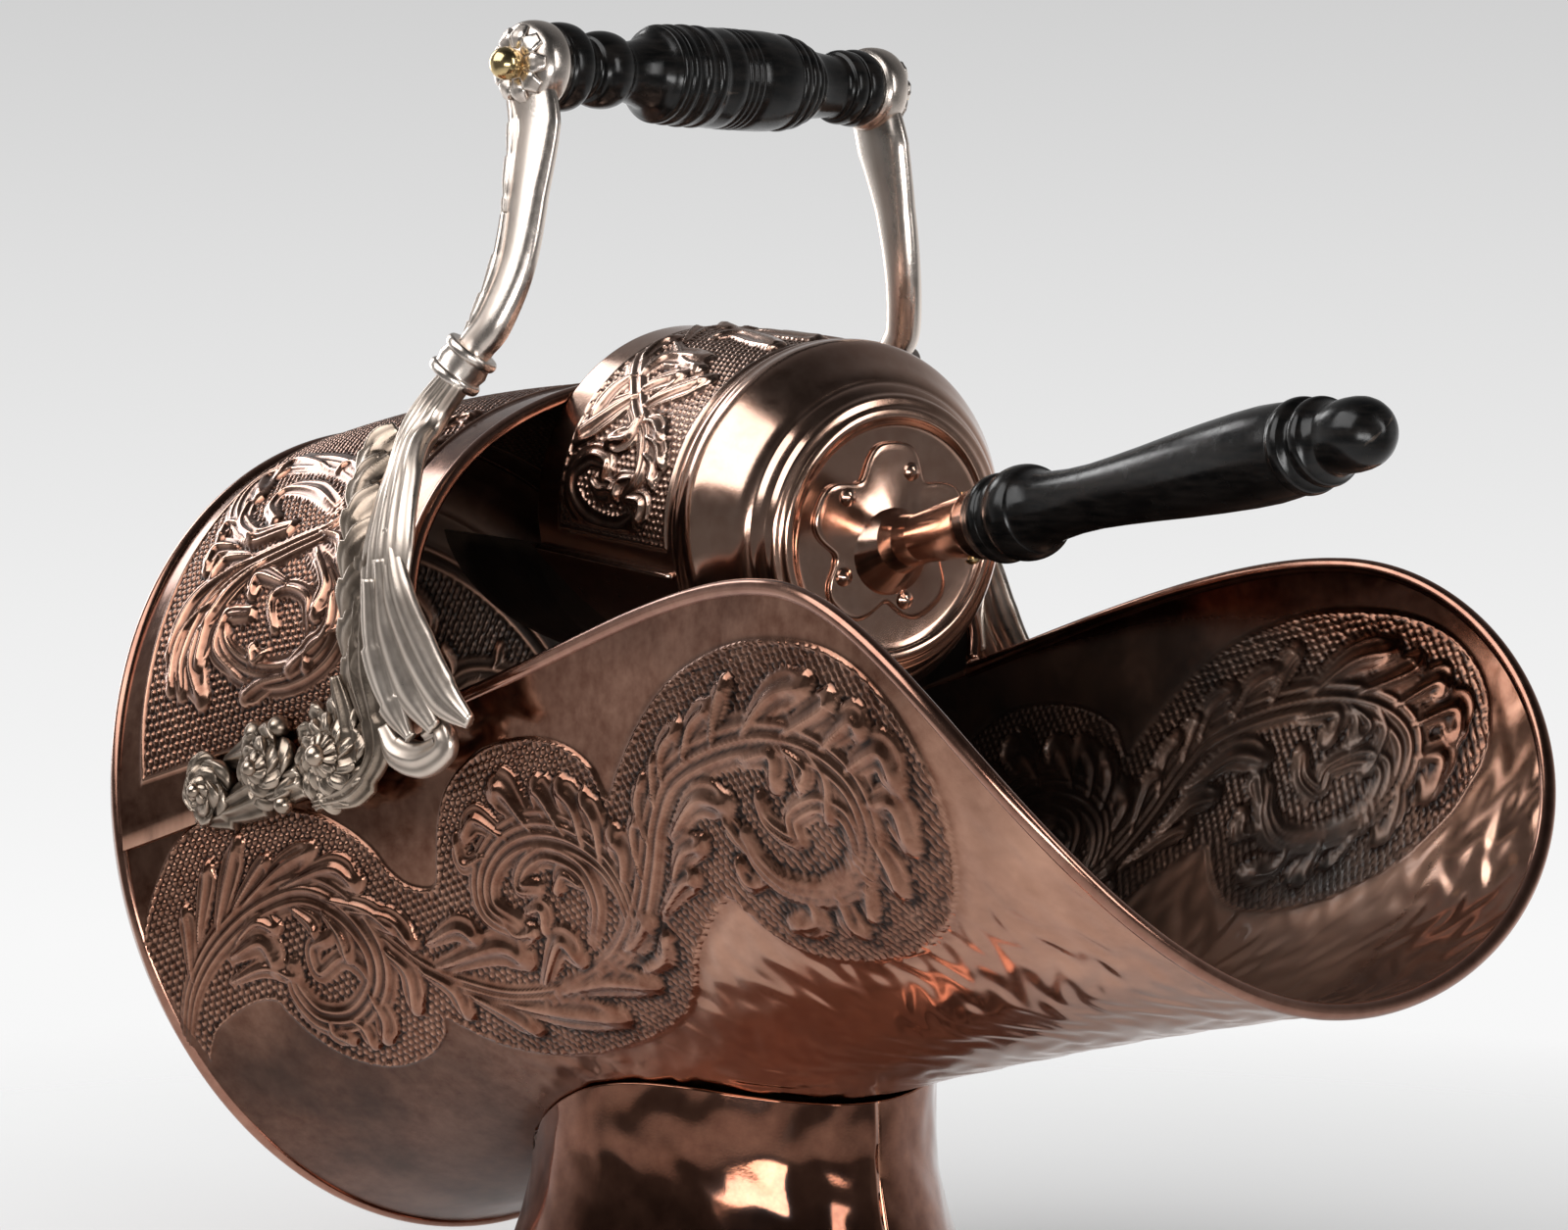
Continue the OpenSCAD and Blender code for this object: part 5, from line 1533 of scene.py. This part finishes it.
def make_socket_plate():
    """The lobed plate, pressed up round the socket and turned down at its rim."""
    a = full_turn(240)
    notch = (1 - np.cos(plate_lobes * (a - plate_lobe_turn))) / 2
    edge = plate_r + plate_lobe * (1 - 2 * notch ** 2)
    round_r = plate_r - plate_lobe
    points, hollow = [], []
    for share, height, dark in plate_rows:
        radius = mix(share * round_r, share * edge, ease((share - 0.4) / 0.5))
        ring, _ = round_shovel(end_depth + gap + height, radius, np.pi / 2 - a)
        points.append(ring)
        hollow.append(np.full(len(a), dark))
    shape = Shape()
    index = shape.grid(np.array(points), np.array(hollow), closed=True)
    shape.cap(index[0], points[0])
    shape.cap(index[-1], points[-1], flip=True)
    nodes = ["shovel_socket_plate"]
    add_piece("shovel_plate_pressing", shape, shovel_copper, "shovel", nodes)


# the handle's swelling and its knob: places along it and shares of its greatest radius
swell = [(34, 0.76), (56, 0.67), (84, 0.75), (120, 0.91), (153, 1.0), (168, 0.95)]
knob = [(196, 0.74), (204, 0.72), (209, 0.6), (212.5, 0.38), (handle_length, 0.05)]


def make_handle():
    """The turned handle outside its socket, with its round tenon."""
    start = socket_length + gap
    tenon = [[start - 40, 8], [start, 9.5]]
    collar = [[start, socket_mouth_r + 1], [start + 3, socket_mouth_r + 2.2]]
    profile = tenon + collar
    profile += bead(start + 8, socket_mouth_r + 3.4, 3, 1) + bead(start + 22, handle_r + 0.6, 7, 2.6)
    profile += [[start + along, handle_r * share] for along, share in swell]
    profile += bead(start + 175, handle_r * 0.98, 3, 1.2) + [[start + 179.5, handle_r * 0.77]]
    profile += bead(start + 184, handle_r * 0.9, 2.6, 1.2) + [[start + 190, handle_r * 0.68]]
    profile += [[start + along, handle_r * share] for along, share in knob]
    shape = Shape()
    turned(shape, rounded(profile, 1), handle_start, handle_axis, 128)
    add_piece("shovel_handle_turning", shape, wood, "shovel", ["shovel_handle"])


def finish_cad(name, material):
    """A CAD node whose shape is right gets its finish."""
    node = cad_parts[name]
    node.data.materials.clear()
    node.data.materials.append(material)


# ---- stage: floor, backdrop, light and camera ----

floor_reach = 1400
# the floor fades between these distances from the middle, in metres
fade_start, fade_end = 0.2, 1.0


def make_floor():
    """A pale floor that fades into the backdrop round the object."""
    rings = np.linspace(1, floor_reach, 24)
    a = full_turn(72)
    points = [np.stack([r * np.cos(a), r * np.sin(a), 0 * a], -1) for r in rings]
    shape = Shape()
    index = shape.grid(np.array(points), closed=True)
    shape.cap(index[0], points[0], flip=True)
    mesh = bpy.data.meshes.new("floor")
    faces = np.concatenate(shape.quads).tolist() + np.concatenate(shape.tris).tolist()
    mesh.from_pydata((np.concatenate(shape.points) * MM).tolist(), [], faces)
    floor = put_in_scene("floor", mesh)
    f = Finish("floor")
    f.shader.inputs["Base Color"].default_value = rgb(0.9, 0.9, 0.9)
    f.shader.inputs["Roughness"].default_value = 0.7
    place = f.node("ShaderNodeTexCoord").outputs["Object"]
    away = f.node("ShaderNodeVectorMath", {0: place}, operation="LENGTH").outputs["Value"]
    fade = f.remap(away, fade_start, fade_end, 0.0, 1.0)
    clear = f.node("ShaderNodeBsdfTransparent")
    both = f.node("ShaderNodeMixShader", {0: fade, 1: f.shader.outputs[0], 2: clear.outputs[0]})
    f.set(f.tree.nodes["Material Output"].inputs["Surface"], both.outputs[0])
    mesh.materials.append(f.material)


# the backdrop's grey at heights of the view's direction, between the lowest and the highest
lowest, highest = -0.3, 1.0
backdrop = ((-0.12, 0.94), (-0.05, 0.86), (0.03, 0.74), (0.09, 0.64), (0.25, 0.4), (0.5, 0.2))
# how bright the backdrop is in the metal towards the camera, and the plain light it gives
dim_side = 0.12
plain_light = 0.35


def make_world():
    """A backdrop that is paler below, and that the metal mirrors dimmer towards the camera's side."""
    world = bpy.data.worlds.new("studio")
    bpy.context.scene.world = world
    world.use_nodes = True
    tree = world.node_tree
    nodes, links = tree.nodes, tree.links
    nodes.clear()

    def node(kind, *inputs, **settings):
        made = nodes.new(kind)
        for key, value in settings.items():
            setattr(made, key, value)
        for socket, value in zip(made.inputs, inputs):
            if isinstance(value, bpy.types.NodeSocket):
                links.new(value, socket)
            elif value is not None:
                socket.default_value = value
        return made

    direction = node("ShaderNodeTexCoord").outputs["Generated"]
    height = node("ShaderNodeSeparateXYZ", direction).outputs["Z"]
    share = node("ShaderNodeMapRange", height, lowest, highest).outputs["Result"]
    ramp = node("ShaderNodeValToRGB", share)
    elements = ramp.color_ramp.elements
    elements[0].position, elements[0].color = 0.0, rgb(0.9, 0.9, 0.9)
    elements[1].position, elements[1].color = 1.0, rgb(0.12, 0.12, 0.125)
    for at, level in backdrop:
        element = elements.new((at - lowest) / (highest - lowest))
        element.color = rgb(level, level, level)
    behind = (-camera_back[0], -camera_back[1], 0.0)
    towards = node("ShaderNodeVectorMath", direction, behind, operation="DOT_PRODUCT").outputs["Value"]
    dim = node("ShaderNodeMapRange", towards, -0.1, 0.75, dim_side, 1.0).outputs["Result"]
    shown = node("ShaderNodeBackground", ramp.outputs[0], 1.0)
    mirrored = node("ShaderNodeBackground", ramp.outputs[0], dim)
    light = node("ShaderNodeBackground", rgb(1, 1, 1), plain_light)
    rays = node("ShaderNodeLightPath").outputs
    shiny = node("ShaderNodeMath", rays["Is Glossy Ray"], rays["Is Transmission Ray"], operation="MAXIMUM")
    unseen = node("ShaderNodeMixShader", shiny.outputs[0], light.outputs[0], mirrored.outputs[0])
    both = node("ShaderNodeMixShader", rays["Is Camera Ray"], unseen.outputs[0], shown.outputs[0])
    node("ShaderNodeOutputWorld", both.outputs[0])


def aim(holder, axes, at):
    """Sets an object at a place in metres, its own axes along these."""
    rows = [[*row, place] for row, place in zip(np.stack(axes, 1), at)]
    holder.matrix_world = Matrix(rows + [[0, 0, 0, 1]])


# bearing from the camera's own and height in degrees, distance and size in metres, and watts
lamps = {
    "key": (-62, 40, 2.2, (2.4, 1.7), 36),
    "fill": (58, 16, 2.4, (0.5, 1.4), 10),
    "edge": (-140, 18, 2.2, (0.6, 1.7), 14),
    "low": (10, -5, 1.4, (0.9, 0.28), 7),
}


def make_lamp(name, azimuth, elevation, distance, size, power):
    """A soft rectangular lamp that looks at the object."""
    a = camera_azimuth + np.radians(azimuth)
    e = np.radians(elevation)
    back = np.array([np.sin(a) * np.cos(e), -np.cos(a) * np.cos(e), np.sin(e)])
    side = unit(np.cross(upward, back))
    lamp = bpy.data.lights.new(name, "AREA")
    lamp.shape = "RECTANGLE"
    lamp.size, lamp.size_y = size
    lamp.energy = power
    aim(put_in_scene(name, lamp), [side, np.cross(back, side), back], camera_target * MM + back * distance)


def make_camera():
    """The photograph's camera, worked out from the object's rims."""
    camera = bpy.data.cameras.new("photo_camera")
    camera.sensor_width = sensor_width
    camera.lens = focal_pixels * sensor_width / photo_width
    camera.clip_end = 50
    holder = put_in_scene("photo_camera", camera)
    aim(holder, [camera_right, camera_up, camera_back], camera_at * MM)
    bpy.context.scene.camera = holder


# the parts whose built shape is right as it stands
cad_finishes = {
    "foot_rim": wire_copper,
    "grip_rod": iron,
    "shovel_barrel": dark_copper,
    "shovel_scoop": iron,
    "shovel_plate_rivets": shovel_copper,
    "shovel_socket": shovel_copper,
    "shovel_pin": bright_brass,
}


make_camera()
make_trough()
make_hood()
make_back()
make_wires()
make_foot()
make_bracket()
make_arm()
make_collar()
make_ball_nut()
make_grip()
make_shovel_hood()
make_shovel_end()
make_socket_plate()
make_handle()
for node_name, finish in cad_finishes.items():
    finish_cad(node_name, finish)
make_floor()
make_world()
for lamp_name, placing in lamps.items():
    make_lamp(lamp_name, *placing)

bpy.context.scene.view_settings.view_transform = "Standard"
